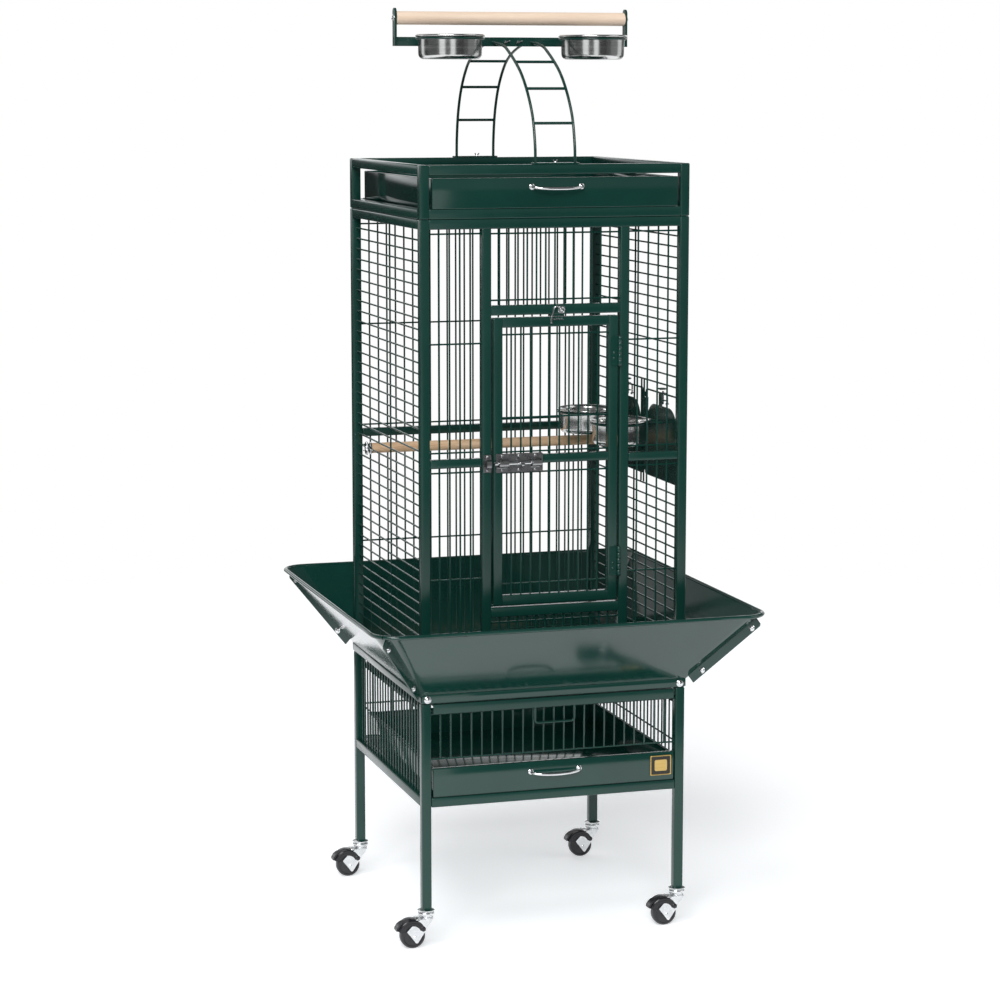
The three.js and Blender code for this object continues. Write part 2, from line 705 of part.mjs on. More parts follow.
// ---- assembly: play top ----
addPart('play_frame', playFrame(), PAINT);
addPart('play_tray', playTray(), PAINT);
addPart('play_tray_handle', bowHandle(-HALF - GAP, 1245, 88), CHROME);
addPart('ladder_front', ladder(-1, 0, FRONT_ARCH, FRONT_RUNGS), PAINT);
addPart('ladder_back', ladder(1, -3.5, BACK_ARCH, BACK_RUNGS), PAINT);
addPart('perch_bracket', perchBracket(), PAINT);
addPart('play_perch', rod([-200, BAR_Y + 2, 1517.5], [200, BAR_Y + 2, 1517.5], 11, 24), PALE_WOOD);
addPart('play_cup_left', turnedCup(PLAY_CUP_RADIUS, 40.5, PLAY_CUP_RIM, -PLAY_CUP_X, PLAY_CUP_Y), STEEL);
addPart('play_cup_right', turnedCup(PLAY_CUP_RADIUS, 40.5, PLAY_CUP_RIM, PLAY_CUP_X, PLAY_CUP_Y), STEEL);

// ---- assembly: casters ----
for (const [name, sx, sy] of [['front_left', -1, -1], ['front_right', 1, -1], ['back_left', -1, 1], ['back_right', 1, 1]]) {
  const x = sx * (HALF - TUBE / 2);
  const y = sy * (HALF - TUBE / 2);
  addPart(`caster_fork_${name}`, casterFork(x, y), BLACK);
  addPart(`caster_wheel_${name}`, casterWheel(x, y), BLACK);
}

export default group;
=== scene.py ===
"""Square bird cage on a wheeled stand: the looks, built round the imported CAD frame.

Helper shapes are made in millimetres and scaled to metres when a piece is finished.
+Z is up, +X is to the right of the door and +Y is to the back.
"""

import math

import bmesh
import bpy
from mathutils import Matrix, Vector


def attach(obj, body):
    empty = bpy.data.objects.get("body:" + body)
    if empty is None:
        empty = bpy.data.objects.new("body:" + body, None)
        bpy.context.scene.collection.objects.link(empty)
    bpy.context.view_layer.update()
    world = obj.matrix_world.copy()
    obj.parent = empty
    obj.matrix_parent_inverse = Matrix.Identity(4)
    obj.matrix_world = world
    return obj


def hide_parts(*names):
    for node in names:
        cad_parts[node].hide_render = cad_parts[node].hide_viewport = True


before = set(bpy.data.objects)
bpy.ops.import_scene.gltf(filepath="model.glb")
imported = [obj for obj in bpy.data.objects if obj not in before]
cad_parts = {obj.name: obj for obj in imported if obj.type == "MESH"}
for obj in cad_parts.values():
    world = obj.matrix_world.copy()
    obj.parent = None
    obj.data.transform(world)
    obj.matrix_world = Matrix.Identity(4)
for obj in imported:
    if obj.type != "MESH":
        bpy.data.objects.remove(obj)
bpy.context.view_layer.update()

MM = 0.001

# ---- driving dimensions, in millimetres ----
HALF = 228.5                 # half of the square body
TUBE = 16.0                  # square tube
INNER = HALF - TUBE
GAP = 0.25                   # clearance between parts
FACE = -HALF - GAP           # plane of what lies on the front of the square tubes
WALL = 220.5                 # middle plane of a wall of wire
WIRE = 1.5                   # wire radius
CROSS = 2.7                  # cross wires lie this far inside the uprights
PITCH = 15.9                 # spacing of the upright wires
SHEET = 1.2                  # thickness of the trays and guards
LEG_BOTTOM = 64.0
STAND_RAIL = 236.0
STAND_LEVEL = 315.0          # level wire of the stand
TRAY_FLOOR = 252.5
TRAY_TOP = 301.0
TRAY_HALF = 208.0            # half the width of both trays
TRAY_FRONT = -226.0          # where the side walls of both trays begin
GRILLE_BASE = 392.25
GRILLE_TOP = 408.25
BODY_BOTTOM = 410.0
SILL = 547.0
MID_RAIL = 796.0
LATCH_Z = 801.5
HEADER = 1041.0
BODY_TOP = 1196.0
PLAY_BOTTOM = BODY_TOP + GAP
PLAY_TOP = 1282.0
JAMB_IN = 109.5
DOOR_HALF = 106.5
DOOR_BOTTOM = 566.5
DOOR_TOP = 1037.0
GUARD_BOTTOM = 424.0
GUARD_RIM = 547.0
GUARD_REACH_X = 331.0
GUARD_REACH_Y = 345.0
GUARD_CORNER = 40.0          # radius of the rim at the corners
FEEDERS = {"front": -44.0, "rear": 131.0}    # hinge-side edge of each feeder opening
FEEDER_FACE = WALL + 1.75    # outer plane of the side wires, where the feeder plates lie
FEEDER_WIDTH = 157.0
FEEDER_LOW = 749.0
FEEDER_HIGH = 892.0
CUP_SET_BACK = 70.0          # from the hinge-side edge to the middle of the cup
CUP_X = 152.0
CUP_RADIUS = 52.0
CUP_RIM = 852.0
CUP_DEPTH = 43.0
PLAY_CUP_X = 124.0
PLAY_CUP_Y = -42.0
PLAY_CUP_RADIUS = 57.5
PLAY_CUP_RIM = 1490.0
PLAY_CUP_DEPTH = 40.5
BAR_Y = 16.0                 # front face of the crossbar
BAR_THICK = 4.0
BAR_LOW = 1471.5
BAR_HIGH = 1486.5
PERCH_Z = 1517.5
WHEEL_RADIUS = 21.0
WHEEL_TRAIL = 24.0           # from the stem back to the axle
CORNERS = {"front_left": (-1, -1), "front_right": (1, -1), "back_left": (-1, 1), "back_right": (1, 1)}


# ---- materials ----
def new_look(name):
    """A Principled material with an object-space position to drive its patterns."""
    look = bpy.data.materials.new(name)
    look.use_nodes = True
    nodes = look.node_tree.nodes
    place = nodes.new("ShaderNodeTexCoord").outputs["Object"]
    return look, nodes["Principled BSDF"], place


def add_node(look, kind, **values):
    node = look.node_tree.nodes.new(kind)
    for key, value in values.items():
        if key in node.inputs:
            node.inputs[key].default_value = value
        else:
            setattr(node, key, value)
    return node


def link(look, output, socket):
    look.node_tree.links.new(output, socket)


def stretched(look, place, scale):
    """The position scaled by a different amount on each axis."""
    mapping = add_node(look, "ShaderNodeMapping")
    mapping.inputs["Scale"].default_value = scale
    link(look, place, mapping.inputs["Vector"])
    return mapping.outputs["Vector"]


def noise(look, vector, scale, detail=3.0, roughness=0.5):
    node = add_node(look, "ShaderNodeTexNoise", Scale=scale, Detail=detail, Roughness=roughness)
    link(look, vector, node.inputs["Vector"])
    return node.outputs["Fac"]


def ramp(look, factor, stops):
    node = add_node(look, "ShaderNodeValToRGB")
    elements = node.color_ramp.elements
    elements[0].position, elements[0].color = stops[0][0], (*stops[0][1], 1)
    elements[1].position, elements[1].color = stops[-1][0], (*stops[-1][1], 1)
    for position, colour in stops[1:-1]:
        elements.new(position).color = (*colour, 1)
    link(look, factor, node.inputs["Fac"])
    return node.outputs["Color"]


def span(look, factor, low, high, start=0.0, end=1.0, eased=False):
    """Maps start..end to low..high, in a straight line or with eased ends."""
    node = add_node(look, "ShaderNodeMapRange")
    if eased:
        node.interpolation_type = "SMOOTHSTEP"
    for key, value in (("From Min", start), ("From Max", end), ("To Min", low), ("To Max", high)):
        node.inputs[key].default_value = value
    link(look, factor, node.inputs["Value"])
    return node.outputs["Result"]


def bump(look, height, strength, distance, shader):
    node = add_node(look, "ShaderNodeBump", Strength=strength, Distance=distance)
    link(look, height, node.inputs["Height"])
    link(look, node.outputs["Normal"], shader.inputs["Normal"])


def calculate(look, operation, a, b):
    """A sum or the like of two values, each a socket or a number."""
    node = add_node(look, "ShaderNodeMath", operation=operation)
    for socket, value in zip(node.inputs, (a, b)):
        if isinstance(value, float):
            socket.default_value = value
        else:
            link(look, value, socket)
    return node.outputs["Value"]


def blend(look, factor, first, second, output):
    """Shows the first shader where the factor is 0 and the second where it is 1."""
    mix = add_node(look, "ShaderNodeMixShader")
    link(look, factor, mix.inputs["Fac"])
    link(look, first, mix.inputs[1])
    link(look, second, mix.inputs[2])
    link(look, mix.outputs["Shader"], output.inputs["Surface"])


def paint(name, smooth, dull, peel, index):
    """Dark green powder coat: glossy, with a faint orange peel and slow changes of depth."""
    look, shader, place = new_look(name)
    cloud = noise(look, place, 7.0, 2.0)
    colour = ramp(look, cloud, [(0.3, (0.0040, 0.032, 0.0245)), (0.7, (0.0052, 0.040, 0.0300))])
    link(look, colour, shader.inputs["Base Color"])
    link(look, span(look, noise(look, place, 30.0, 2.0), smooth, dull), shader.inputs["Roughness"])
    shader.inputs["IOR"].default_value = index
    bump(look, noise(look, place, 220.0, 2.0), peel, 0.0004, shader)
    return look


def metal(look, shader, grain, dark, light, smooth, dull):
    """Metal whose tone and roughness follow a grain."""
    link(look, ramp(look, grain, [(0.3, dark), (0.7, light)]), shader.inputs["Base Color"])
    link(look, span(look, grain, smooth, dull), shader.inputs["Roughness"])
    shader.inputs["Metallic"].default_value = 1.0


def brushed(name, stretch, dark, light, smooth, dull, strength, depth):
    """Metal with fine level lines."""
    look, shader, place = new_look(name)
    lines = noise(look, stretched(look, place, stretch), 1.0, 3.0)
    metal(look, shader, lines, dark, light, smooth, dull)
    bump(look, lines, strength, depth, shader)
    return look


def steel():
    return brushed("polished_stainless", (6.0, 6.0, 900.0), (0.60, 0.60, 0.59), (0.74, 0.74, 0.73),
                   0.13, 0.24, 0.06, 0.0003)


def chrome(name, smooth, dull, tone):
    """Plated metal: tone 1 is bright, less is a duller plating."""
    look, shader, place = new_look(name)
    dark = (0.70 * tone, 0.71 * tone, 0.72 * tone)
    light = (0.82 * tone, 0.83 * tone, 0.84 * tone)
    metal(look, shader, noise(look, place, 140.0, 3.0), dark, light, smooth, dull)
    bump(look, noise(look, place, 300.0, 2.0), 0.01, 0.0002, shader)
    return look


def wood(name, pale, dark, streak):
    """Straight-grained dowel wood, with the grain along X."""
    look, shader, place = new_look(name)
    grain = noise(look, stretched(look, place, (7.0, 150.0, 150.0)), 1.0, 5.0, 0.6)
    fibres = noise(look, stretched(look, place, (40.0, 1500.0, 1500.0)), 1.0, 3.0)
    board = ramp(look, grain, [(0.30, dark), (0.48, streak), (0.66, pale)])
    mix = add_node(look, "ShaderNodeMix", data_type="RGBA", blend_type="MULTIPLY")
    mix.inputs["Factor"].default_value = 0.35
    link(look, board, mix.inputs["A"])
    link(look, ramp(look, fibres, [(0.3, (0.86, 0.80, 0.74)), (0.7, (1.0, 1.0, 1.0))]), mix.inputs["B"])
    link(look, mix.outputs["Result"], shader.inputs["Base Color"])
    link(look, span(look, fibres, 0.48, 0.66), shader.inputs["Roughness"])
    bump(look, fibres, 0.25, 0.0004, shader)
    return look


def brass():
    return brushed("gold_plate", (30.0, 30.0, 1400.0), (0.62, 0.42, 0.13), (0.80, 0.57, 0.22),
                   0.25, 0.42, 0.1, 0.0002)


def black(name, colour, low, high, grain):
    """Moulded plastic with a fine grain."""
    look, shader, place = new_look(name)
    cloud = noise(look, place, 45.0, 3.0)
    lighter = tuple(1.6 * c for c in colour)
    link(look, ramp(look, cloud, [(0.35, colour), (0.7, lighter)]), shader.inputs["Base Color"])
    link(look, span(look, cloud, low, high), shader.inputs["Roughness"])
    bump(look, noise(look, place, grain, 2.0), 0.15, 0.0004, shader)
    return look


LOOKS = {
    "paint": (paint("green_tube_paint", 0.16, 0.26, 0.05, 1.50), "green_paint"),
    "sheet": (paint("green_sheet_paint", 0.07, 0.13, 0.02, 1.62), "green_paint"),
    "steel": (steel(), "stainless_steel"),
    "chrome": (chrome("bright_chrome", 0.10, 0.20, 1.0), "chrome"),
    "zinc": (chrome("bright_zinc", 0.20, 0.28, 1.0), "chrome"),
    "plate": (chrome("dull_zinc", 0.24, 0.32, 0.42), "chrome"),
    "pale": (wood("pale_pine", (0.86, 0.70, 0.56), (0.76, 0.58, 0.43), (0.83, 0.66, 0.52)), "pale_wood"),
    "tan": (wood("tan_dowel", (0.84, 0.60, 0.40), (0.62, 0.39, 0.22), (0.76, 0.52, 0.32)), "tan_wood"),
    "brass": (brass(), "brass"),
    "enamel": (black("dark_enamel", (0.010, 0.009, 0.006), 0.18, 0.30, 500.0), "brass"),
    "tyre": (black("black_wheel", (0.016, 0.016, 0.018), 0.32, 0.48, 900.0), "black_plastic"),
    "hood": (black("black_hood", (0.008, 0.008, 0.010), 0.16, 0.30, 700.0), "black_plastic"),
}


# ---- shape helpers, in millimetres ----
def piece(name, bm, look, body, node=None, sharp=38.0):
    """Finishes a mesh: it rides on a body, and stands for a CAD node if one is given."""
    bmesh.ops.recalc_face_normals(bm, faces=bm.faces)
    mesh = bpy.data.meshes.new(name)
    bm.to_mesh(mesh)
    bm.free()
    mesh.transform(Matrix.Scale(MM, 4))
    mesh.shade_smooth()
    mesh.set_sharp_from_angle(angle=math.radians(sharp))
    material, slot = LOOKS[look]
    mesh.materials.append(material)
    obj = bpy.data.objects.new(name, mesh)
    bpy.context.scene.collection.objects.link(obj)
    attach(obj, body)
    if node:
        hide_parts(node)
    return obj


def block(bm, a, b, edge=1.0, steps=2):
    """A box between two corners, with rounded edges."""
    low = Vector(map(min, a, b))
    high = Vector(map(max, a, b))
    size = high - low
    made = bmesh.ops.create_cube(bm, size=1.0)["verts"]
    bmesh.ops.scale(bm, vec=size, verts=made)
    bmesh.ops.translate(bm, vec=(low + high) / 2, verts=made)
    edge = min(edge, 0.4 * min(size))
    edges = list(dict.fromkeys(e for v in made for e in v.link_edges))
    bmesh.ops.bevel(bm, geom=edges, offset=edge, segments=steps, profile=0.5, affect="EDGES")


def tube(bm, a, b):
    """A length of square tube with its rolled corners."""
    block(bm, a, b, 2.0, 3)


def square_to(direction):
    """Two unit vectors square to a direction and to each other."""
    d = Vector(direction).normalized()
    helper = Vector((0, 0, 1)) if abs(d.z) < 0.9 else Vector((1, 0, 0))
    across = helper.cross(d).normalized()
    return across, d.cross(across)


def skin(bm, rings, closed=False):
    """Joins rings of points into a closed skin. A ring of one point is a tip."""
    loops = [[bm.verts.new(p) for p in ring] for ring in rings]
    pairs = list(zip(loops, loops[1:]))
    if closed:
        pairs.append((loops[-1], loops[0]))
    for a, b in pairs:
        count = max(len(a), len(b))
        for i in range(count):
            j = (i + 1) % count
            if len(a) == 1:
                bm.faces.new((a[0], b[i], b[j]))
            elif len(b) == 1:
                bm.faces.new((a[i], a[j], b[0]))
            else:
                bm.faces.new((a[i], a[j], b[j], b[i]))
    if not closed:
        for loop in (loops[0], loops[-1]):
            if len(loop) > 2:
                bm.faces.new(loop)


def circle(centre, across, up, wide, high, sides):
    points = []
    for i in range(sides):
        t = math.tau * (i + 0.5) / sides
        points.append(centre + across * (wide * math.cos(t)) + up * (high * math.sin(t)))
    return points


def rod(bm, a, b, radius=WIRE, sides=8, round_end=0.0):
    """A straight round bar, with eased ends if round_end is given."""
    a, b = Vector(a), Vector(b)
    along = (b - a).normalized()
    across, up = square_to(along)
    steps = [(0.0, radius - round_end), (round_end, radius)] if round_end else [(0.0, radius)]
    rings = [circle(a + along * d, across, up, r, r, sides) for d, r in steps]
    rings += [circle(b - along * d, across, up, r, r, sides) for d, r in reversed(steps)]
    skin(bm, rings)


def bent(bm, path, radius, sides=8, closed=False, flat=1.0, side=None):
    """A bar bent along a path. radius is a number or one per point; flat squeezes it along side."""
    path = [Vector(p) for p in path]
    count = len(path)
    rings = []
    up = None
    for i, point in enumerate(path):
        before = path[(i - 1) % count] if closed else path[max(0, i - 1)]
        after = path[(i + 1) % count] if closed else path[min(count - 1, i + 1)]
        along = (after - before).normalized()
        if side is not None:
            across = (Vector(side) - along * along.dot(Vector(side))).normalized()
        elif up is None:
            across, _ = square_to(along)
        else:
            across = up.cross(along).normalized()
        up = along.cross(across)
        r = radius[i] if isinstance(radius, (list, tuple)) else radius
        rings.append(circle(point, across, up, r * flat, r, sides))
    skin(bm, rings, closed)


def turned(bm, profile, origin, axis=(0, 0, 1), sides=32):
    """A (radius, height) profile turned about an axis through origin. It ends on the axis, or closes."""
    along = Vector(axis).normalized()
    across, up = square_to(along)
    rings = []
    for r, h in profile:
        centre = Vector(origin) + along * h
        rings.append([centre] if r == 0 else circle(centre, across, up, r, r, sides))
    skin(bm, rings, closed=profile[0][0] > 0)


def prism(bm, outline, shift):
    """A flat outline swept along a vector."""
    shift = Vector(shift)
    points = [Vector(p) for p in outline]
    skin(bm, [points, [p + shift for p in points]])


def on_plane(axis, level, outline, du=0.0, dv=0.0):
    """Places (u, v) pairs, moved by (du, dv), on the plane square to an axis."""
    moved = [(u + du, v + dv) for u, v in outline]
    if axis == "x":
        return [(level, u, v) for u, v in moved]
    if axis == "y":
        return [(u, level, v) for u, v in moved]
    return [(u, v, level) for u, v in moved]


def plate(bm, axis, level, outline, thick, du=0.0, dv=0.0):
    """A flat piece square to an axis, growing from level by thick along it."""
    shift = {"x": (thick, 0, 0), "y": (0, thick, 0), "z": (0, 0, thick)}[axis]
    prism(bm, on_plane(axis, level, outline, du, dv), shift)


def hoop(bm, axis, level, centre, radius, thick, sides, count):
    """A ring of round wire on the plane square to an axis."""
    turns = [math.tau * i / count for i in range(count)]
    ring = [(centre[0] + radius * math.cos(t), centre[1] + radius * math.sin(t)) for t in turns]
    bent(bm, on_plane(axis, level, ring), thick, sides, closed=True)


def shell(bm, grid, thickness):
    """A sheet through a grid of points, thickened to the side its normal points to."""
    rows, columns = len(grid), len(grid[0])
    back = []
    for r in range(rows):
        line = []
        for c in range(columns):
            u = Vector(grid[min(r + 1, rows - 1)][c]) - Vector(grid[max(r - 1, 0)][c])
            v = Vector(grid[r][min(c + 1, columns - 1)]) - Vector(grid[r][max(c - 1, 0)])
            line.append(Vector(grid[r][c]) + u.cross(v).normalized() * thickness)
        back.append(line)
    sheets = []
    for points in (grid, back):
        sheets.append([[bm.verts.new(p) for p in line] for line in points])
    front, rear = sheets
    for r in range(rows - 1):
        for c in range(columns - 1):
            for s in sheets:
                bm.faces.new((s[r][c], s[r + 1][c], s[r + 1][c + 1], s[r][c + 1]))
    rim = [(0, c) for c in range(columns)] + [(r, columns - 1) for r in range(1, rows)]
    rim += [(rows - 1, c) for c in range(columns - 2, -1, -1)] + [(r, 0) for r in range(rows - 2, 0, -1)]
    for (r0, c0), (r1, c1) in zip(rim, rim[1:] + rim[:1]):
        bm.faces.new((front[r0][c0], front[r1][c1], rear[r1][c1], rear[r0][c0]))


def arc(centre, radius, start, end, steps):
    """Points of an arc in a plane, as (u, v) pairs; angles in degrees."""
    points = []
    for i in range(steps + 1):
        t = math.radians(start + (end - start) * i / steps)
        points.append((centre[0] + radius * math.cos(t), centre[1] + radius * math.sin(t)))
    return points


def rounded(low, high, radius, steps=5):
    """Outline of a rectangle with rounded corners, as (u, v) pairs."""
    (u0, v0), (u1, v1) = low, high
    points = []
    for centre, start in (((u1 - radius, v1 - radius), 0), ((u0 + radius, v1 - radius), 90),
                          ((u0 + radius, v0 + radius), 180), ((u1 - radius, v0 + radius), 270)):
        points += arc(centre, radius, start, start + 90, steps)
    return points


def dome(bm, at, axis, radius=4.5, height=2.6, washer=True):
    """A domed screw head, standing on a thin washer."""
    base = 0.0
    if washer:
        wide = radius + 1.6
        turned(bm, [(0, 0), (wide, 0), (wide, 0.7), (wide - 0.4, 1.0), (0, 1.0)], at, axis, 18)
        base = 1.0
    profile = [(0, base - 0.1), (radius, base - 0.1), (radius, base + 0.35 * height),
               (0.8 * radius, base + 0.72 * height), (0.45 * radius, base + 0.95 * height),
               (0, base + height)]
    turned(bm, profile, at, axis, 18)


def hex_nut(bm, at, axis, across=7.0, height=3.0):
    turned(bm, [(0, 0), (0.58 * across, 0), (0.58 * across, height), (0, height)], at, axis, 6)


def wing_nut(bm, at, axis, wing, size=1.0):
    """A wing nut: a tapered hub with two ears along the wing direction."""
    axis, wing = Vector(axis).normalized(), Vector(wing).normalized()
    turned(bm, [(0, 0), (4 * size, 0), (3.2 * size, 5 * size), (0, 5 * size)], at, axis, 16)
    thick = axis.cross(wing) * (1.4 * size)
    ear = [(2.6, 0.8), (6.5, 3.4), (9.0, 6.6), (9.2, 9.4), (7.4, 10.2), (5.4, 8.6), (2.6, 4.6)]
    for side in (-1, 1):
        outline = [Vector(at) + wing * (side * u * size) + axis * (v * size) - thick / 2 for u, v in ear]
        prism(bm, outline, thick)


def spread(u0, u1, pitch):
    """Evenly spaced places strictly between two ends, at about the given pitch."""
    count = max(1, round((u1 - u0) / pitch) - 1)
    step = (u1 - u0) / (count + 1)
    return [u0 + step * (i + 1) for i in range(count)]


# ---- stand ----
def stand_frames():
    for name, side in (("left", -1), ("right", 1)):
        out, inn = side * HALF, side * INNER
        bm = bmesh.new()
        for end in (-1, 1):
            tube(bm, (inn, end * INNER, LEG_BOTTOM), (out, end * HALF, BODY_BOTTOM - GAP))
        tube(bm, (inn, -INNER - 1, STAND_RAIL), (out, INNER + 1, STAND_RAIL + TUBE))
        shelf = GRILLE_BASE - GAP
        block(bm, (inn + side, -INNER, shelf - 1.6), (inn - 8 * side, INNER, shelf), 0.4)
        block(bm, (inn + side, -INNER, shelf - 9), (inn - 0.6 * side, INNER, shelf), 0.4)
        shelf = TRAY_FLOOR - GAP
        block(bm, (inn + side, -INNER + GAP, shelf - 1.6), (inn - 16 * side, INNER - GAP, shelf), 0.4)
        piece(f"stand_{name}_tubes", bm, "paint", "cage", f"stand_{name}_frame")
    for name, end in (("front", -1), ("back", 1)):
        bm = bmesh.new()
        tube(bm, (-INNER + GAP, end * HALF, STAND_RAIL), (INNER - GAP, end * INNER, STAND_RAIL + TUBE))
        piece(f"stand_{name}_tube", bm, "paint", "cage", f"stand_{name}_rail")
    bm = bmesh.new()
    for sx, sy in CORNERS.values():
        at = (sx * WALL, sy * WALL, LEG_BOTTOM - 2.5)
        profile = [(0, 0), (13.6, 0), (14.4, 0.5), (14.4, 1.6), (13.2, 2.2), (10.2, 3.4), (0, 3.4)]
        turned(bm, profile, at, sides=40)
    piece("caster_seats", bm, "chrome", "cage")


def stand_wires():
    low, high = STAND_RAIL + TUBE, BODY_BOTTOM - GAP
    inside = WALL - CROSS
    for name, turn in (("front", 0), ("right", 90), ("back", 180), ("left", 270)):
        bm = bmesh.new()
        bottom = STAND_LEVEL if name == "front" else low
        top = GRILLE_BASE - 2 if name == "front" else high
        for u in spread(-INNER, INNER, 17.6):
            rod(bm, (u, -WALL, bottom), (u, -WALL, top))
        levels = (STAND_LEVEL, top) if name == "front" else (low + 3, STAND_LEVEL, top - 4)
        for z in levels:
            rod(bm, (-INNER, -inside, z), (INNER, -inside, z))
        bm.transform(Matrix.Rotation(math.radians(turn), 4, "Z"))
        piece(f"stand_{name}_bars", bm, "paint", "cage", f"stand_wires_{name}")


def bow_handle(name, z, body, node):
    """A slim bow that stands out from the panel and droops a little."""
    half, steps = 42.0, 24
    bm = bmesh.new()
    path, radii = [], []
    for i in range(steps + 1):
        t = math.pi * i / steps
        reach = 15.0 * math.sin(t) ** 0.55
        path.append((-half * math.cos(t), FACE - 0.6 - reach, z + 1.5 - 2.8 * math.sin(t)))
        radii.append(2.1 + 0.9 * math.sin(t) ** 2)
    bent(bm, path, radii, 12)
    for s in (-1, 1):
        foot = [(0, 0), (4.6, 0), (4.6, 0.8), (3.4, 1.6), (0, 1.6)]
        turned(bm, foot, (half * s, FACE + 0.1, z + 1.5), (0, -1, 0), 20)
    piece(name, bm, "chrome", body, node)


def tray(name, low, high, back, floor_back, front_half, front_low, handle):
    """A slide-out tray: a floor, walls with rolled tops, a front panel with a folded lip, and a handle."""
    half = TRAY_HALF
    roll = 1.9                          # centre of a rolled top, in from the wall and down from the top
    bm = bmesh.new()
    block(bm, (-half, TRAY_FRONT, low), (half, floor_back, low + SHEET), 0.3)
    for s in (-1, 1):
        x = s * (half - roll)
        block(bm, (s * half, TRAY_FRONT, low), (s * (half - SHEET), back, high - 1), 0.3)
        rod(bm, (x, TRAY_FRONT + 1, high - roll), (x, back - 1, high - roll), 1.8, 10)
    block(bm, (-half, back, low), (half, back - SHEET, high - 1), 0.3)
    rod(bm, (1 - half, back - roll, high - roll), (half - 1, back - roll, high - roll), 1.8, 10)
    block(bm, (-front_half, -HALF, front_low), (front_half, -HALF + 3, high), 1.2, 3)
    block(bm, (-front_half, -HALF + 1, high - 1.4), (front_half, -HALF + 9, high), 0.5)
    piece(f"{name}_pan", bm, "sheet", name, name)
    bow_handle(f"{name}_bow", handle, name, f"{name}_handle")


def debris_tray():
    back = 208.0
    tray("debris_tray", TRAY_FLOOR, TRAY_TOP, back, back, TRAY_HALF + 1.5, TRAY_FLOOR + 1.2, 283.0)


def nameplate():
    """A blank gold plate: a raised gold edge, a dark field and a plain gold panel in its middle."""
    low, high = (168.0, 262.0), (205.0, 296.0)

    def inset(by, radius):
        return rounded((low[0] + by, low[1] + by), (high[0] - by, high[1] - by), radius)

    bm = bmesh.new()
    plate(bm, "y", FACE, inset(0.0, 2.2), -0.7)
    bent(bm, on_plane("y", FACE - 0.75, inset(0.9, 1.8)), 0.85, 8, closed=True)
    plate(bm, "y", FACE, inset(7.5, 2.6), -1.15)
    piece("nameplate_gold", bm, "brass", "debris_tray", "nameplate")
    bm = bmesh.new()
    plate(bm, "y", FACE, inset(1.9, 1.2), -0.9)
    piece("nameplate_field", bm, "enamel", "debris_tray")


def floor_grille():
    """A rack of wires with a channel for its front and a wire loop to pull it by."""
    half, front, back = 209.0, -225.0, 208.5
    z = GRILLE_BASE + WIRE
    bm = bmesh.new()
    for x in spread(-half, half, PITCH) + [-half + WIRE, half - WIRE]:
        rod(bm, (x, front, z), (x, back, z))
    for y in (-130, -40, 50, 140):
        rod(bm, (-half + WIRE, y, z + CROSS), (half - WIRE, y, z + CROSS))
    rod(bm, (-half, back, z), (half, back, z))
    block(bm, (-half, -HALF, GRILLE_BASE), (half, -HALF + 2.0, GRILLE_TOP), 0.8, 3)
    block(bm, (-half, -HALF + 0.5, GRILLE_TOP - 1.6), (half, -HALF + 11, GRILLE_TOP), 0.6)
    block(bm, (-half, -HALF + 0.5, GRILLE_BASE), (half, -HALF + 5, GRILLE_BASE + 1.6), 0.6)
    loop = [(-34, 396)] + arc((-29, 371), 5, 180, 270, 5) + arc((29, 371), 5, 270, 360, 5) + [(34, 396)]
    bent(bm, on_plane("y", -HALF + 2, loop), 2.0, 10)
    piece("floor_grille_bars", bm, "paint", "floor_grille", "floor_grille")


# ---- seed guards ----
def guard_curves(reach, across, steps=6, columns=12):
    """The bottom and the rim line of one panel, matched point to point."""
    corner = GUARD_CORNER
    left = arc((-(across - corner), reach - corner), corner, 135, 90, steps)
    right = arc((across - corner, reach - corner), corner, 90, 45, steps)
    foot = HALF + GAP - 0.4
    feet = []
    for side in (-1, 1):
        for i in range(steps + 1):
            turn = (steps - i if side < 0 else i) / steps
            feet.append((side * (foot - 14 * (1 - turn)), HALF + GAP))

    def with_middle(line):
        """Adds the columns of the long flat middle."""
        a, b = line[steps], line[steps + 1]
        middle = []
        for i in range(1, columns):
            t = i / columns
            middle.append((a[0] + (b[0] - a[0]) * t, a[1] + (b[1] - a[1]) * t))
        return line[:steps + 1] + middle + line[steps + 1:]

    return with_middle(feet), with_middle(left + right)


def guard_panel(name, reach, across, turn):
    """One flared panel, made facing -Y and then turned about Z."""
    feet, rim = guard_curves(reach, across)
    rows = 8
    grid = []
    for r in range(rows + 1):
        t = r / rows
        z = GUARD_BOTTOM + t * (GUARD_RIM - GUARD_BOTTOM)
        grid.append([(fx + (rx - fx) * t, -(fy + (ry - fy) * t), z) for (fx, fy), (rx, ry) in zip(feet, rim)])
    bm = bmesh.new()
    shell(bm, grid, SHEET)
    root = HALF + GAP
    block(bm, (-root + 0.4, -root - 1.4, 412), (root - 0.4, -root, GUARD_BOTTOM + 1), 0.5)
    bent(bm, [(x, -y - 1.0, GUARD_RIM) for x, y in rim], 3.5, 12, side=(0, 0, 1))
    for s in (-1, 1):
        seam_flange(bm, s, reach, across)
    bm.transform(Matrix.Rotation(math.radians(turn), 4, "Z"))
    piece(f"seed_guard_{name}_sheet", bm, "sheet", "cage", f"seed_guard_{name}", 30.0)


def seam_ends(side, reach, across):
    """Lower and upper end of the seam at one end of a panel that faces -Y."""
    corner = GUARD_CORNER
    bend = corner * (1 - math.sqrt(0.5))
    root = HALF + GAP
    return (Vector((side * root, -root, GUARD_BOTTOM)),
            Vector((side * (across - bend), -(reach - bend), GUARD_RIM)))


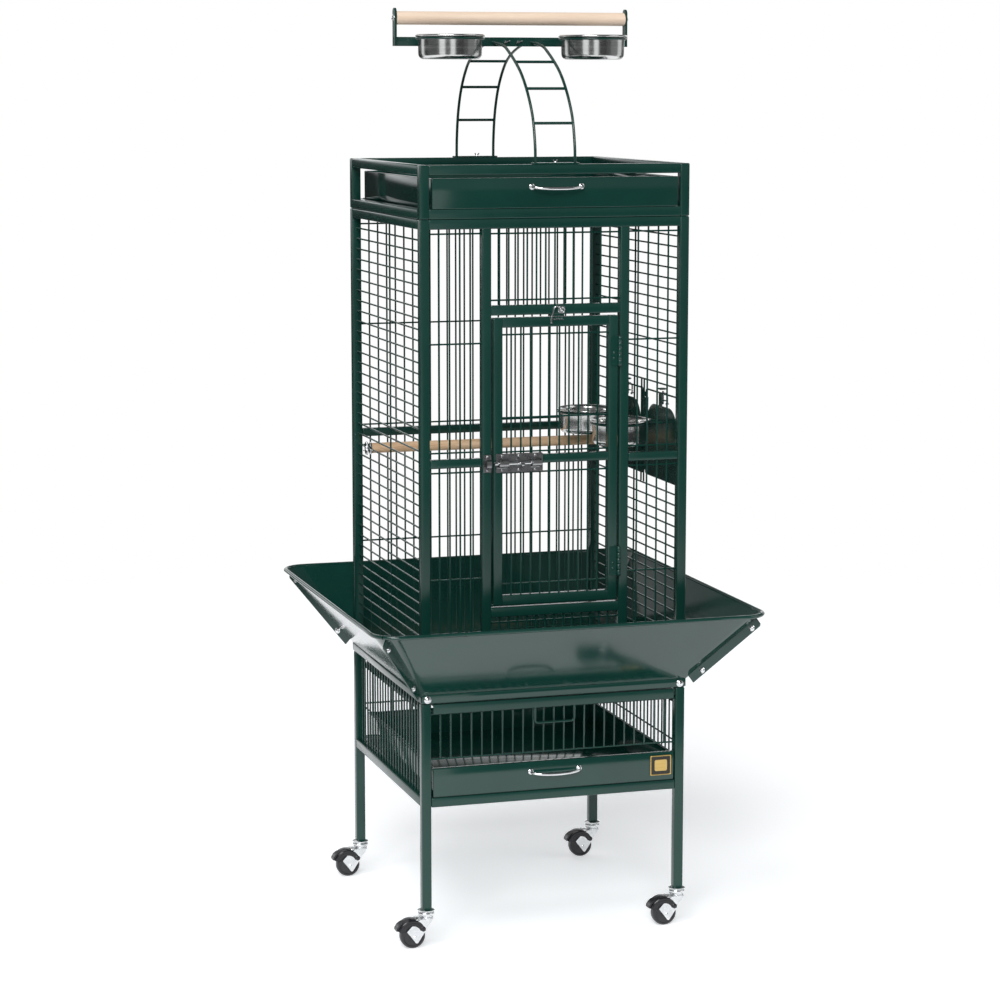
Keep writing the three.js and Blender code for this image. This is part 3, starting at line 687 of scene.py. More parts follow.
def seam_axes(low, high):
    """At a seam between two ends: the way out and down in the corner's plane, and the way to the front."""
    square = Vector((high.y - low.y, low.x - high.x, 0)).normalized()
    out = (high - low).normalized().cross(square)
    if out.z > 0:
        out = -out
    return out, square if square.y < 0 else -square


def seam_flange(bm, side, reach, across):
    """The folded lip along the seam, standing out and down in the corner's plane."""
    low, high = seam_ends(side, reach, across)
    out, front = seam_axes(low, high)
    a, b = low + (high - low) * 0.05, low + (high - low) * 0.95
    outline = [a - out * 0.5, b - out * 0.5, b + out * 11, b + (low - b) * 0.02 + out * 14, a + out * 14]
    prism(bm, [p + front * 0.195 for p in outline], front * 1.2)


def guard_bolts():
    """Two bolts with nuts through each seam, and one at each end of the feet in front and behind."""
    bm = bmesh.new()
    for sx, sy in CORNERS.values():
        low, high = seam_ends(sx, GUARD_REACH_Y, GUARD_REACH_X)
        low.y, high.y = sy * abs(low.y), sy * abs(high.y)
        out, front = seam_axes(low, high)
        for t in (0.20, 0.86):
            face = -front if sy > 0 and t > 0.5 else front
            at = low + (high - low) * t + out * 7.5
            dome(bm, at + face * 1.4, face, 3.8, 2.4)
            hex_nut(bm, at - face * 1.4, -face, 5.5, 2.4)
    for sx in (-1, 1):
        for sy in (-1, 1):
            dome(bm, (sx * (HALF - 9.5), sy * (HALF + GAP + 1.4), 417.5), (0, sy, 0), 4.4, 2.8)
    piece("guard_bolts", bm, "chrome", "cage")


# ---- body ----
def corner_posts(bm, end):
    out, inn = end * HALF, end * INNER
    for s in (-1, 1):
        tube(bm, (s * INNER, out, BODY_BOTTOM), (s * HALF, inn, BODY_TOP))
    tube(bm, (-INNER - 1, out, BODY_BOTTOM), (INNER + 1, inn, BODY_BOTTOM + TUBE))
    tube(bm, (-INNER - 1, out, BODY_TOP - TUBE), (INNER + 1, inn, BODY_TOP))


def body_frames():
    bm = bmesh.new()
    corner_posts(bm, -1)
    wide = JAMB_IN + TUBE
    low, high = BODY_BOTTOM + TUBE - 1, BODY_TOP - TUBE + 1
    for s in (-1, 1):
        tube(bm, (s * wide, -HALF, low), (s * JAMB_IN, -INNER, high))
    for z in (SILL, HEADER):
        tube(bm, (-JAMB_IN - 1, -HALF, z), (JAMB_IN + 1, -INNER, z + TUBE))
    piece("front_frame_tubes", bm, "paint", "cage", "front_frame")
    bm = bmesh.new()
    corner_posts(bm, 1)
    piece("back_frame_tubes", bm, "paint", "cage", "back_frame")


def wire_bay(bm, u0, u1, v0, v1, levels, pitch=PITCH):
    """Upright wires in the front wall, tied by level wires behind them."""
    for u in spread(u0, u1, pitch):
        rod(bm, (u, -WALL, v0), (u, -WALL, v1))
    for z in levels:
        rod(bm, (u0, -WALL + CROSS, z), (u1, -WALL + CROSS, z))


def front_walls():
    low, high = BODY_BOTTOM + TUBE, BODY_TOP - TUBE
    levels = (436.0, 611.7, 787.4, 820.0, 996.0, 1172.5)
    for name, s in (("left", -1), ("right", 1)):
        u0, u1 = sorted((s * (JAMB_IN + TUBE), s * INNER))
        bm = bmesh.new()
        wire_bay(bm, u0, u1, low, high, levels)
        tube(bm, (u0, -HALF, MID_RAIL), (u1, -INNER, MID_RAIL + 14))
        piece(f"front_{name}_grid", bm, "paint", "cage", f"front_{name}_wires")
    bm = bmesh.new()
    wire_bay(bm, -JAMB_IN, JAMB_IN, HEADER + TUBE, high, (1065.0, 1172.0), 15.7)
    piece("front_top_grid", bm, "paint", "cage", "front_top_wires")
    bm = bmesh.new()
    wire_bay(bm, -JAMB_IN, JAMB_IN, low, SILL, (436.0, 537.0), 15.7)
    piece("front_lower_grid", bm, "paint", "cage", "front_lower_wires")


def back_wall():
    levels = (436.0, 610.0, 781.0, 817.0, 994.3, 1168.8)
    bm = bmesh.new()
    wire_bay(bm, -INNER, INNER, BODY_BOTTOM + TUBE, BODY_TOP - TUBE, levels)
    bm.transform(Matrix.Rotation(math.pi, 4, "Z"))
    tube(bm, (-INNER, INNER, MID_RAIL), (INNER, HALF, MID_RAIL + 14))
    piece("back_grid", bm, "paint", "cage", "back_wires")


def side_wall(name, side, openings):
    """Level climbing wires with one upright in the middle, between a top and a bottom rail."""
    low, high = BODY_BOTTOM + TUBE, BODY_TOP - TUBE
    edge = 2.5                          # the wires stop this far from an opening
    bm = bmesh.new()
    x = side * WALL
    for z in spread(low, high, 18.0):
        spans = [(-INNER, INNER)]
        if openings and FEEDER_LOW - 5 < z < FEEDER_HIGH + 5:
            (_, a1), (b0, b1) = openings
            spans = [(a1 + edge, b0 - edge), (b1 + edge, INNER)]
        for y0, y1 in spans:
            rod(bm, (x, y0, z), (x, y1, z))
    inside = side * (WALL - CROSS)
    rod(bm, (inside, 0, low), (inside, 0, high))
    for y0, y1 in openings:
        feeder_opening(bm, x, y0, y1, edge)
    for z in (BODY_BOTTOM, BODY_TOP - TUBE):
        tube(bm, (side * HALF, -INNER, z), (side * INNER, INNER, z + TUBE))
    piece(f"{name}_side_grid", bm, "paint", "cage", f"{name}_side_wires")


def feeder_opening(bm, x, y0, y1, edge):
    """The uprights at both sides of an opening, two hinge lugs and the loop that keeps the bolt."""
    for y in (y0 - edge, y1 + edge):
        if abs(y) < INNER:
            rod(bm, (x, y, FEEDER_LOW - 16), (x, y, FEEDER_HIGH + 18))
    for z in (FEEDER_LOW + 4, FEEDER_HIGH - 12):
        block(bm, (WALL + 0.5, y1 + 3, z), (WALL + 7, y1 + 7.5, z + 8), 0.8)
    loop = [(-2, -4.6), (7.2, -4.6), (9.4, -2.6), (9.4, 2.6), (7.2, 4.6), (-2, 4.6)]
    bent(bm, on_plane("z", 900.5, loop, FEEDER_FACE, y1 - CUP_SET_BACK), 1.5, 8)


def roof():
    bm = bmesh.new()
    z = BODY_TOP - 10 + WIRE
    for x in spread(-INNER, INNER, PITCH):
        rod(bm, (x, -INNER, z), (x, INNER, z))
    for y in (-150, -50, 50, 150):
        rod(bm, (-INNER, y, z - CROSS), (INNER, y, z - CROSS))
    piece("roof_grid", bm, "paint", "cage", "roof_grille")


# ---- door ----
def door():
    w = DOOR_HALF
    inner = w - TUBE
    rails = ((DOOR_BOTTOM, DOOR_BOTTOM + TUBE), (DOOR_TOP - TUBE, DOOR_TOP), (MID_RAIL + 3, MID_RAIL + 17))
    bm = bmesh.new()
    for s in (-1, 1):
        tube(bm, (s * w, -HALF, DOOR_BOTTOM), (s * inner, -INNER, DOOR_TOP))
    for z0, z1 in rails:
        tube(bm, (-inner - 1, -HALF, z0), (inner + 1, -INNER, z1))
    piece("door_tubes", bm, "paint", "door", "door_frame")
    bays = {"upper": (MID_RAIL + 17, DOOR_TOP - TUBE, (818.0, 874.0, 1009.0)),
            "lower": (DOOR_BOTTOM + TUBE, MID_RAIL + 3, (600.0, 784.0))}
    for name, (low, high, levels) in bays.items():
        bm = bmesh.new()
        wire_bay(bm, -inner, inner, low, high, levels, 16.4)
        piece(f"door_{name}_grid", bm, "paint", "door", f"door_{name}_wires")
    hinge("upper", 955.0)
    hinge("lower", 607.0)
    latch()


def hinge(name, low):
    """A knuckle hinge: five knuckles on a pin, and a leaf with two screws on the door stile."""
    x, y = DOOR_HALF + 1.5, -HALF - 4
    height = 48.0
    step = height / 5
    knuckle = [(0, 0.2), (3.2, 0.2), (3.5, 0.6), (3.5, step - 0.6), (3.2, step - 0.2), (0, step - 0.2)]
    bm = bmesh.new()
    for i in range(5):
        turned(bm, knuckle, (x, y, low + i * step), sides=18)
    rod(bm, (x, y, low - 1.2), (x, y, low + height + 1.2), 1.8, 12, 0.5)
    plate(bm, "y", FACE, rounded((DOOR_HALF - 13, low), (x - 1, low + height), 2.0), -1.6)
    for dz in (12, 21):
        dome(bm, (DOOR_HALF - 7.5, FACE - 1.5, low + dz), (0, -1, 0), 2.2, 1.2, False)
    piece(f"door_hinge_{name}_knuckles", bm, "paint", "door", f"door_hinge_{name}")


def strap(bm, x0, x1, outer, bore):
    """A strap round the bolt, from half profiles of (height, reach) that are mirrored in height."""
    outline = [(FACE - 1 - d, v) for v, d in outer]
    outline += [(FACE - 1 - d, -v) for v, d in reversed(outer)]
    outline += [(FACE - 1 - d, -v) for v, d in bore]
    outline += [(FACE - 1 - d, v) for v, d in reversed(bore)]
    plate(bm, "x", x0, outline, x1 - x0, 0.0, LATCH_Z)


def latch():
    """A barrel bolt: a riveted plate with two straps, the bolt with its knob, and the catch on the frame."""
    outer = [(11.0, 0.0), (7.6, 0.8), (6.6, 4.0), (6.6, 8.0), (5.4, 11.2), (3.0, 12.8)]
    bore = [(6.0, 0.0), (5.2, 4.0), (5.2, 8.0), (4.0, 10.4), (2.2, 11.4)]
    bm = bmesh.new()
    plate(bm, "y", FACE, rounded((-103, 786), (-23, 817), 2.5), -1.6)
    for x0, x1 in ((-100, -84), (-44, -28)):
        strap(bm, x0, x1, outer, bore)
    for x in (-92, -64, -36):
        for z in (790.0, 813.0):
            dome(bm, (x, FACE - 1.5, z), (0, -1, 0), 2.6, 1.5, False)
    piece("door_latch_track", bm, "plate", "door", "door_latch_guide")
    bm = bmesh.new()
    y = FACE - 7
    rod(bm, (-107, y, LATCH_Z), (-26, y, LATCH_Z), 3.2, 20, 0.7)
    knob = [(0, 0), (2.4, 0), (2.4, 7), (3.4, 8.2), (4.0, 10.2), (3.2, 11.8), (0, 12.2)]
    turned(bm, knob, (-62, y, LATCH_Z), (0, -1, 0), 20)
    piece("door_latch_rod", bm, "chrome", "door_bolt", "door_latch_bolt")
    bm = bmesh.new()
    plate(bm, "y", FACE, rounded((-124, 787), (-110.5, 816), 2.0), -1.6)
    catch(bm)
    for z in (790.5, 812.5):
        dome(bm, (-117, FACE - 1.5, z), (0, -1, 0), 2.6, 1.5, False)
    piece("door_latch_catch", bm, "plate", "cage", "door_latch_keeper")


def catch(bm):
    """The closed loop of the catch, which the bolt slides into."""
    outer = [(6.9, 0), (6.9, 9), (5.0, 12.0), (0, 12.8), (-5.0, 12.0), (-6.9, 9), (-6.9, 0)]
    bore = [(-5.4, 0), (-5.4, 8.6), (-3.8, 10.6), (0, 11.4), (3.8, 10.6), (5.4, 8.6), (5.4, 0)]
    plate(bm, "x", -121, [(FACE - 1 - d, v) for v, d in outer + bore], 8, 0.0, LATCH_Z)


def header_hook():
    """An eye and a stop tab on the rail over the door; a wire hook and its spring on the door."""
    x, z = 8.0, 1049.0
    eye = [(0, 0), (4.2, 0), (4.2, 0.8), (2.6, 1.6), (2.4, 5.0), (0, 5.6)]
    bm = bmesh.new()
    turned(bm, eye, (x, -HALF + 0.2, z), (0, -1, 0), 20)
    piece("header_eye", bm, "zinc", "cage")
    bm = bmesh.new()
    block(bm, (-10, -HALF + 0.6, 1037.6), (14, -HALF + 8, HEADER + 1), 0.6)
    piece("header_stop", bm, "paint", "cage")
    y = -HALF - 3.4
    arm = [(4, 1053.6), (-1, 1054.4), (-4, 1052.4), (-6, 1047), (-7.6, 1041), (-9.2, 1035), (-10.4, 1030),
           (-9.6, 1027.4), (-7.6, 1027.6)]
    spring = [(-7 + 1.5 * i, 1033.0 + (1.6 if i % 2 else -1.6)) for i in range(13)]
    bm = bmesh.new()
    hoop(bm, "y", y, (x, z - 0.6), 5.4, 1.1, 8, 18)
    bent(bm, on_plane("y", y - 0.4, arm), 1.2, 8)
    rod(bm, (-9.6, y - 0.4, 1031.5), (-9.6, -HALF + 0.5, 1031.5), 1.1, 8)
    bent(bm, on_plane("y", -HALF - 1.2, spring), 0.8, 6)
    piece("door_top_hook", bm, "zinc", "door")


# ---- feeders ----
def quarter(across, height, radius, angles):
    """Points of an arc, with the angles in degrees from straight down."""
    turns = [math.radians(a) for a in angles]
    return [(across + radius * math.sin(t), height - radius * math.cos(t)) for t in turns]


def cup(name, radius, depth, rim, x, y, body, node):
    """A deep-drawn steel cup with a rolled rim and a rounded foot."""
    wall = radius - 5.0
    inner = wall - 1.2
    foot = 9.0
    profile = [(0, -depth)] + quarter(wall - foot, foot - depth, foot, range(0, 91, 15))
    profile += [(wall + 0.3, -depth * 0.5), (wall + 0.8, -6.0), (wall + 1.6, -3.6)]
    profile += quarter(radius - 2.0, -2.0, 2.0, (20, 60, 90, 130, 170, 210, 250))
    profile += [(inner + 0.6, -3.4), (inner, -6.5), (inner - 0.4, -depth * 0.5)]
    profile += quarter(inner - foot, foot - depth + 1.2, foot, range(90, -1, -15))
    profile += [(0, -depth + 1.2)]
    bm = bmesh.new()
    turned(bm, profile, (x, y, rim), sides=72)
    piece(name, bm, "steel", body, node, 60.0)


def feeder_plate(bm, edge):
    """The arched plate with its beaded edge, and the wire frame it is welded to."""
    left, right, low, top = edge - 146, edge - 6, FEEDER_LOW, 872.0
    radius = 38.0

    def arch(r):
        return (arc((right - radius, top - radius), r, 0, 90, 14)
                + arc((left + radius, top - radius), r, 90, 180, 14))

    plate(bm, "x", FEEDER_FACE, [(left, low - 2), (right, low - 2)] + arch(radius), 1.6)
    bead = [(right - 1.5, low)] + arch(radius - 1.5) + [(left + 1.5, low)]
    bent(bm, on_plane("x", FEEDER_FACE + 1.8, bead), 1.1, 8)
    frame_line = rounded((edge - FEEDER_WIDTH - 1.5, low - 1.5), (edge + 0.5, FEEDER_HIGH + 1.5), 5.0)
    bent(bm, on_plane("x", FEEDER_FACE + WIRE, frame_line), 1.6, 8, closed=True)


def feeder_hinge(bm, edge):
    """Six knuckles beside the plate, on a leaf."""
    x, y = FEEDER_FACE + 4.4, edge + 4.6
    low, high = FEEDER_LOW + 13, FEEDER_HIGH - 13
    step = (high - low) / 6
    for i in range(6):
        z = low + i * step
        rod(bm, (x, y, z + 0.3), (x, y, z + step - 0.3), 2.4, 12, 0.4)
    block(bm, (FEEDER_FACE, edge - 1, low), (x - 1.4, edge + 3.4, high), 0.5)


def feeder_bolt(name, y):
    """A short pin with a bent-wire finger pull that ends in a knob."""
    x = FEEDER_FACE + 5.6
    pull = [(0, 886), (0.6, 889), (2.6, 891.2), (5.2, 891.2), (7.2, 889), (7.8, 886), (7.8, 876)]
    knob = [(0, 0), (2.6, 0), (3.0, 1.0), (3.0, 3.0), (2.2, 4.0), (0, 4.0)]
    bm = bmesh.new()
    rod(bm, (x, y, 874), (x, y, 897), 1.7, 12, 0.4)
    bent(bm, on_plane("y", y, pull, x), 1.6, 10)
    turned(bm, knob, (x + 7.8, y, 872.4), sides=16)
    piece(f"{name}_pin", bm, "chrome", name, name)


def feeder(name, edge):
    """A feeder door with the ring that holds its cup, the bolt that locks it, and the cup."""
    middle = edge - CUP_SET_BACK
    ring_z = CUP_RIM - 6.4
    bm = bmesh.new()
    feeder_plate(bm, edge)
    hoop(bm, "z", ring_z, (CUP_X, middle), CUP_RADIUS - 1.9, 1.7, 10, 48)
    for s in (-1, 1):
        stay = [(CUP_X + 47, middle + s * 12, ring_z), (CUP_X + 60, middle + s * 14, ring_z - 0.2),
                (FEEDER_FACE + 1, middle + s * 15, ring_z - 0.6)]
        bent(bm, stay, 1.9, 8)
    feeder_hinge(bm, edge)
    guide = [(1, -6), (1, -4.4), (3, -3.4), (9, -3.2), (9, 3.2), (3, 3.4), (1, 4.4), (1, 6)]
    for z in (880.5, 893.0):
        bent(bm, on_plane("z", z, guide, FEEDER_FACE, middle), 1.1, 8)
    block(bm, (FEEDER_FACE + 0.4, middle - 7.5, 868), (FEEDER_FACE + 2.0, middle + 7.5, 895), 0.5)
    piece(f"feeder_door_{name}_panel", bm, "paint", f"feeder_door_{name}", f"feeder_door_{name}")
    feeder_bolt(f"feeder_bolt_{name}", middle)
    cup(f"feeder_cup_{name}_bowl", CUP_RADIUS, CUP_DEPTH, CUP_RIM, CUP_X, middle,
        f"feeder_cup_{name}", f"feeder_cup_{name}")


def washer(bm, at, side, wide, thick):
    profile = [(0, 0), (wide, 0), (wide, thick - 0.6), (wide - 1, thick), (0, thick)]
    turned(bm, profile, at, (side, 0, 0), 24)


def inner_perch():
    y, z = 146, 784
    end = WALL - 5.0
    bm = bmesh.new()
    rod(bm, (-end, y, z), (end, y, z), 8.8, 28, 0.8)
    piece("inner_perch_dowel", bm, "tan", "cage", "inner_perch")
    bm = bmesh.new()
    for s in (-1, 1):
        washer(bm, (s * (end - 0.2), y, z), s, 11, 1.8)
        washer(bm, (s * (WALL + WIRE + 0.2), y, z), s, 12, 1.6)
        wing_nut(bm, (s * (WALL + WIRE + 1.6), y, z), (s, 0, 0), (0, 0.4, 1), 0.55)
    piece("inner_perch_fixings", bm, "chrome", "cage")


# ---- play top ----
def play_frame():
    bm = bmesh.new()
    for sx in (-1, 1):
        for sy in (-1, 1):
            tube(bm, (sx * HALF, sy * HALF, PLAY_BOTTOM), (sx * INNER, sy * INNER, PLAY_TOP))
    for z0, z1 in ((PLAY_BOTTOM, PLAY_BOTTOM + TUBE), (PLAY_TOP - TUBE, PLAY_TOP)):
        for s in (-1, 1):
            tube(bm, (s * HALF, -INNER - 1, z0), (s * INNER, INNER + 1, z1))
            tube(bm, (-INNER - 1, s * HALF, z0), (INNER + 1, s * INNER, z1))
    piece("play_frame_tubes", bm, "paint", "cage", "play_frame")


def play_tray():
    low = PLAY_BOTTOM + TUBE + GAP
    tray("play_tray", low, 1261.0, 205.0, 218.0, TRAY_HALF, low, 1245.0)


# each ladder: its end of the cage, shift along X, arch as (distance from the middle, height), and rungs
LADDERS = {
    "front": (-1, 0.0, ((220.5, 1284.5), (219, 1310), (210, 1347), (196, 1373), (172, 1402), (143, 1427),
                        (112, 1445), (80, 1460), (48, 1471.5)), ((210, 1347), (172, 1402), (112, 1445))),
    "back": (1, -3.5, ((220.5, 1284.5), (219.5, 1312), (214, 1347), (204, 1377), (189, 1404), (168, 1428),
                       (142, 1448), (105, 1463), (62, 1473)), ((214, 1347), (189, 1404), (142, 1448))),
}


def smooth_path(points, steps=4):
    """A Catmull-Rom line through the points."""
    points = [Vector(p) for p in points]
    ends = [2 * points[0] - points[1]] + points + [2 * points[-1] - points[-2]]
    line = []
    for i in range(1, len(ends) - 2):
        p0, p1, p2, p3 = ends[i - 1:i + 3]
        for k in range(steps):
            t = k / steps
            line.append(0.5 * (2 * p1 + (p2 - p0) * t + (2 * p0 - 5 * p1 + 4 * p2 - p3) * t * t
                               + (3 * p1 - p0 - 3 * p2 + p3) * t ** 3))
    return line + [points[-1]]


def ladder(name, end, shift, arch, rungs):
    """Two arched rods from a foot plate up to the crossbar, with three rungs."""
    half, tab = 33.5, 40.0
    wire, tab_thick = 2.4, 3.0
    if end > 0:
        tab_y = BAR_Y + BAR_THICK + GAP
        last = tab_y + wire
    else:
        tab_y = BAR_Y - GAP - tab_thick
        last = GAP + wire - BAR_Y
    bm = bmesh.new()
    for x in (shift - half, shift + half):
        path = [(x, end * y, z) for y, z in arch] + [(x, end * last, 1479.0)]
        bent(bm, smooth_path(path), wire, 10)
    for y, z in rungs:
        rod(bm, (shift - half, end * y, z), (shift + half, end * y, z), 2.3, 10)
    foot = [(u, end * v) for u, v in rounded((shift - tab, 213), (shift + tab, 228), 4.0)]
    plate(bm, "z", PLAY_TOP + GAP, foot, 2.2)
    plate(bm, "y", tab_y, rounded((shift - tab, BAR_LOW), (shift + tab, BAR_HIGH), 3.0), tab_thick)
    piece(f"ladder_{name}_rails", bm, "paint", "cage", f"ladder_{name}")


def play_fixings():
    """Wing nuts at the feet of the ladders and on the crossbar, and a screw in each end of the perch."""
    middle = (BAR_LOW + BAR_HIGH) / 2
    bm = bmesh.new()
    for end in (-1, 1):
        wing_nut(bm, (0, end * WALL, PLAY_TOP + GAP + 2.2), (0, 0, 1), (1, 0.3, 0), 0.5)
    for x in (-11, 11):
        wing_nut(bm, (x, BAR_Y - GAP - 3, middle), (0, -1, 0), (1, 0, 0.35), 0.6)
        dome(bm, (x, BAR_Y + BAR_THICK + GAP + 3, middle), (0, 1, 0), 3.6, 2.2)
    for s in (-1, 1):
        dome(bm, (s * 204, BAR_Y + 2, PERCH_Z), (s, 0, 0), 4.2, 2.4)
    piece("play_fixings", bm, "chrome", "cage")


def perch_bracket():
    """The crossbar with its two upright ends and two cup rings, and the dowel between the ends."""
    half, middle = 204.0, BAR_Y + BAR_THICK / 2
    cup_back = PLAY_CUP_Y + PLAY_CUP_RADIUS - 4.0
    bm = bmesh.new()
    block(bm, (-half, BAR_Y, BAR_LOW), (half, BAR_Y + BAR_THICK, BAR_HIGH), 0.9, 3)
    for s in (-1, 1):
        outline = [(middle - 7.5, BAR_LOW), (middle + 7.5, BAR_LOW)] + arc((middle, 1526.5), 7.5, 0, 180, 14)
        plate(bm, "x", s * (half - 3.6), outline, s * 3.6)
        x = s * PLAY_CUP_X
        hoop(bm, "z", PLAY_CUP_RIM - 6.6, (x, PLAY_CUP_Y), PLAY_CUP_RADIUS - 1.9, 1.8, 10, 56)
        block(bm, (x - 9, cup_back, 1480.5), (x + 9, BAR_Y + 1, 1485), 1.0)
    piece("perch_bracket_bar", bm, "paint", "cage", "perch_bracket")
    bm = bmesh.new()
    rod(bm, (-200, middle, PERCH_Z), (200, middle, PERCH_Z), 11, 40, 0.8)
    piece("play_perch_dowel", bm, "pale", "cage", "play_perch")


# ---- casters ----
def caster(name, sx, sy):
    """A trailing caster: swivel discs, a bright fork that narrows to the axle, a black hood and the wheel."""
    x, y = sx * WALL, sy * WALL
    wx, wz = x - WHEEL_TRAIL, WHEEL_RADIUS
    body = f"caster_{name}"
    swivel = [(0, 0), (10.0, 0), (10.0, -1.6), (13.0, -2.0), (14.0, -3.2), (14.0, -5.6), (13.0, -6.8),
              (10.4, -7.2), (10.4, -9.4), (12.0, -10.4), (12.0, -12.4), (10.0, -13.6), (0, -13.6)]
    arm = [(-11.5, 9.0), (-8.0, 4.0), (-5.7, 1.6), (3.2, -10.6), (5.0, -11.8), (7.0, -11.0), (17.5, 4.7),
           (22.0, 13.0), (30.0, 23.0), (34.0, 29.0), (16.0, 30.0), (6.0, 25.0), (-4.0, 17.0)]
    spine = [(20.5, 9.5), (24.5, 15.0), (31.0, 23.0), (34.0, 28.8), (31.6, 29.0), (28.0, 24.0), (22.0, 17.0)]
    rivet = [(0, 0), (2.4, 0), (2.4, 0.5), (1.6, 1.0), (0, 1.2)]
    bm = bmesh.new()
    turned(bm, swivel, (x, y, LEG_BOTTOM - 2.5 - GAP), sides=40)
    for s in (-1, 1):
        plate(bm, "y", y + s * 10.0, arm, s * 1.5, wx, wz)
        turned(bm, rivet, (wx + 2.5, y + s * 11.4, wz - 1.0), (0, s, 0), 20)
    block(bm, (wx + 4, y - 11.5, wz + 27.4), (x + 9, y + 11.5, wz + 29.4), 0.8)
    plate(bm, "y", y - 10.5, spine, 21, wx, wz)
    rod(bm, (wx, y - 11.4, wz), (wx, y + 11.4, wz), 2.6, 16)
    piece(f"caster_fork_{name}_zinc", bm, "zinc", body, f"caster_fork_{name}")
    hood(name, wx, y, wz, body)
    wheel(name, wx, y, wz)


def hood(name, wx, y, wz, body):
    """The black hood over the upper half of the wheel, with its hooked brake tab."""
    du, dv = -2.0, 4.0                  # middle of the hood, from the axle
    inner, outer = 22.3, 24.7
    count = 18
    rings = []
    for i, (u, v) in enumerate(arc((0, 0), 1.0, 16, 166, count)):
        half = 12.4 - 2.0 * abs(2 * i / count - 1) ** 3
        section = [(inner, half - 1.4), (outer - 2.0, half), (outer - 0.6, half - 1.0), (outer, half - 3.4)]
        section += [(r, -w) for r, w in reversed(section)]
        rings.append([Vector((wx + du + r * u, y + w, wz + dv + r * v)) for r, w in section])
    bm = bmesh.new()
    skin(bm, rings)
    skirt = arc((du, dv), outer - 1.8, 14, 166, 18) + arc((du, dv), 14.5, 160, 24, 14)
    ridge = arc((du, dv), 19.5, 48, 140, 12) + arc((du, dv), 17.0, 140, 48, 12)
    button = [(0, 0), (4.2, 0), (4.2, 1.4), (3.4, 2.0), (0, 2.0)]
    for s in (-1, 1):
        plate(bm, "y", y + s * 11.5, skirt, s * 1.2, wx, wz)
        plate(bm, "y", y + s * 12.6, ridge, s * 0.8, wx, wz)
        turned(bm, button, (wx + 16.0, y + s * 11.5, wz + 12.4), (0, s, 0), 20)
    hook = [(-14.0, 25.4), (-20.0, 23.4), (-25.0, 19.6), (-28.2, 14.4), (-28.8, 10.8), (-26.8, 10.4),
            (-24.6, 14.0), (-21.4, 16.6), (-18.0, 18.0)]
    plate(bm, "y", y - 8.0, hook, 16, wx, wz)
    piece(f"caster_hood_{name}", bm, "hood", body)


def wheel(name, wx, y, wz):
    """The wheel: a hub, a web and a rounded tread, the same on both faces."""
    r = WHEEL_RADIUS
    face = [(3.2, -8.6), (6.4, -8.6), (7.2, -7.4), (r - 5.2, -7.2), (r - 4.0, -8.6), (r - 2.0, -8.2),
            (r - 0.6, -6.6), (r, -3.6)]
    bm = bmesh.new()
    turned(bm, face + [(u, -v) for u, v in reversed(face)], (wx, y, wz), (0, 1, 0), 56)
    piece(f"caster_wheel_{name}_tyre", bm, "tyre", f"wheel_{name}", f"caster_wheel_{name}")


# ---- build ----
stand_frames()
stand_wires()
debris_tray()
nameplate()
floor_grille()
for turn, panel_name in ((0, "front"), (180, "back")):
    guard_panel(panel_name, GUARD_REACH_Y, GUARD_REACH_X, turn)
for turn, panel_name in ((90, "right"), (270, "left")):
    guard_panel(panel_name, GUARD_REACH_X, GUARD_REACH_Y, turn)
guard_bolts()
body_frames()
front_walls()
back_wall()
side_wall("left", -1, [])
side_wall("right", 1, [(edge - FEEDER_WIDTH, edge) for edge in FEEDERS.values()])
roof()
door()
header_hook()
for side_name, hinge_edge in FEEDERS.items():
    feeder(side_name, hinge_edge)
inner_perch()
play_frame()
play_tray()
for ladder_name, shape in LADDERS.items():
    ladder(ladder_name, *shape)
play_fixings()
perch_bracket()
for side_name, x_side in (("left", -1), ("right", 1)):
    cup(f"play_cup_{side_name}_bowl", PLAY_CUP_RADIUS, PLAY_CUP_DEPTH, PLAY_CUP_RIM,
        x_side * PLAY_CUP_X, PLAY_CUP_Y, f"play_cup_{side_name}", f"play_cup_{side_name}")
for corner_name, (x_side, y_side) in CORNERS.items():
    caster(corner_name, x_side, y_side)


# ---- floor, light and camera ----
def studio_floor():
    """A white disc that melts into the white surround at its edge."""
    look, shader, place = new_look("studio_floor")
    shader.inputs["Base Color"].default_value = (0.86, 0.87, 0.89, 1)
    shader.inputs["Roughness"].default_value = 0.6
    shader.inputs["Specular IOR Level"].default_value = 0.1
    shader.inputs["Emission Color"].default_value = (0.97, 0.985, 1.0, 1)
    shader.inputs["Emission Strength"].default_value = 0.42
    length = add_node(look, "ShaderNodeVectorMath", operation="LENGTH")
    link(look, place, length.inputs[0])
    edge = span(look, length.outputs["Value"], 0.0, 1.0, 2.2, 3.4, eased=True)
    clear = add_node(look, "ShaderNodeBsdfTransparent")
    output = look.node_tree.nodes["Material Output"]
    blend(look, edge, shader.outputs["BSDF"], clear.outputs["BSDF"], output)
    bm = bmesh.new()
    bmesh.ops.create_circle(bm, cap_ends=True, segments=96, radius=3.5)
    mesh = bpy.data.meshes.new("studio_floor")
    bm.to_mesh(mesh)
    bm.free()
    mesh.materials.append(look)
    obj = bpy.data.objects.new("studio_floor", mesh)
    bpy.context.scene.collection.objects.link(obj)


CEILING = 0.10
# strips of the surround below the horizon: the bearing where each starts (0 = +X, 90 = +Y) and its brightness
STRIPS = ((-180, 0.10), (-146, 1.00), (-124, 0.10), (-105, 1.00), (-88, 0.05), (-56, 0.10), (-38, 0.22),
          (-5, 0.75), (20, 0.10), (50, 0.70), (84, 0.03), (128, 0.85), (146, 0.04), (168, 0.10))


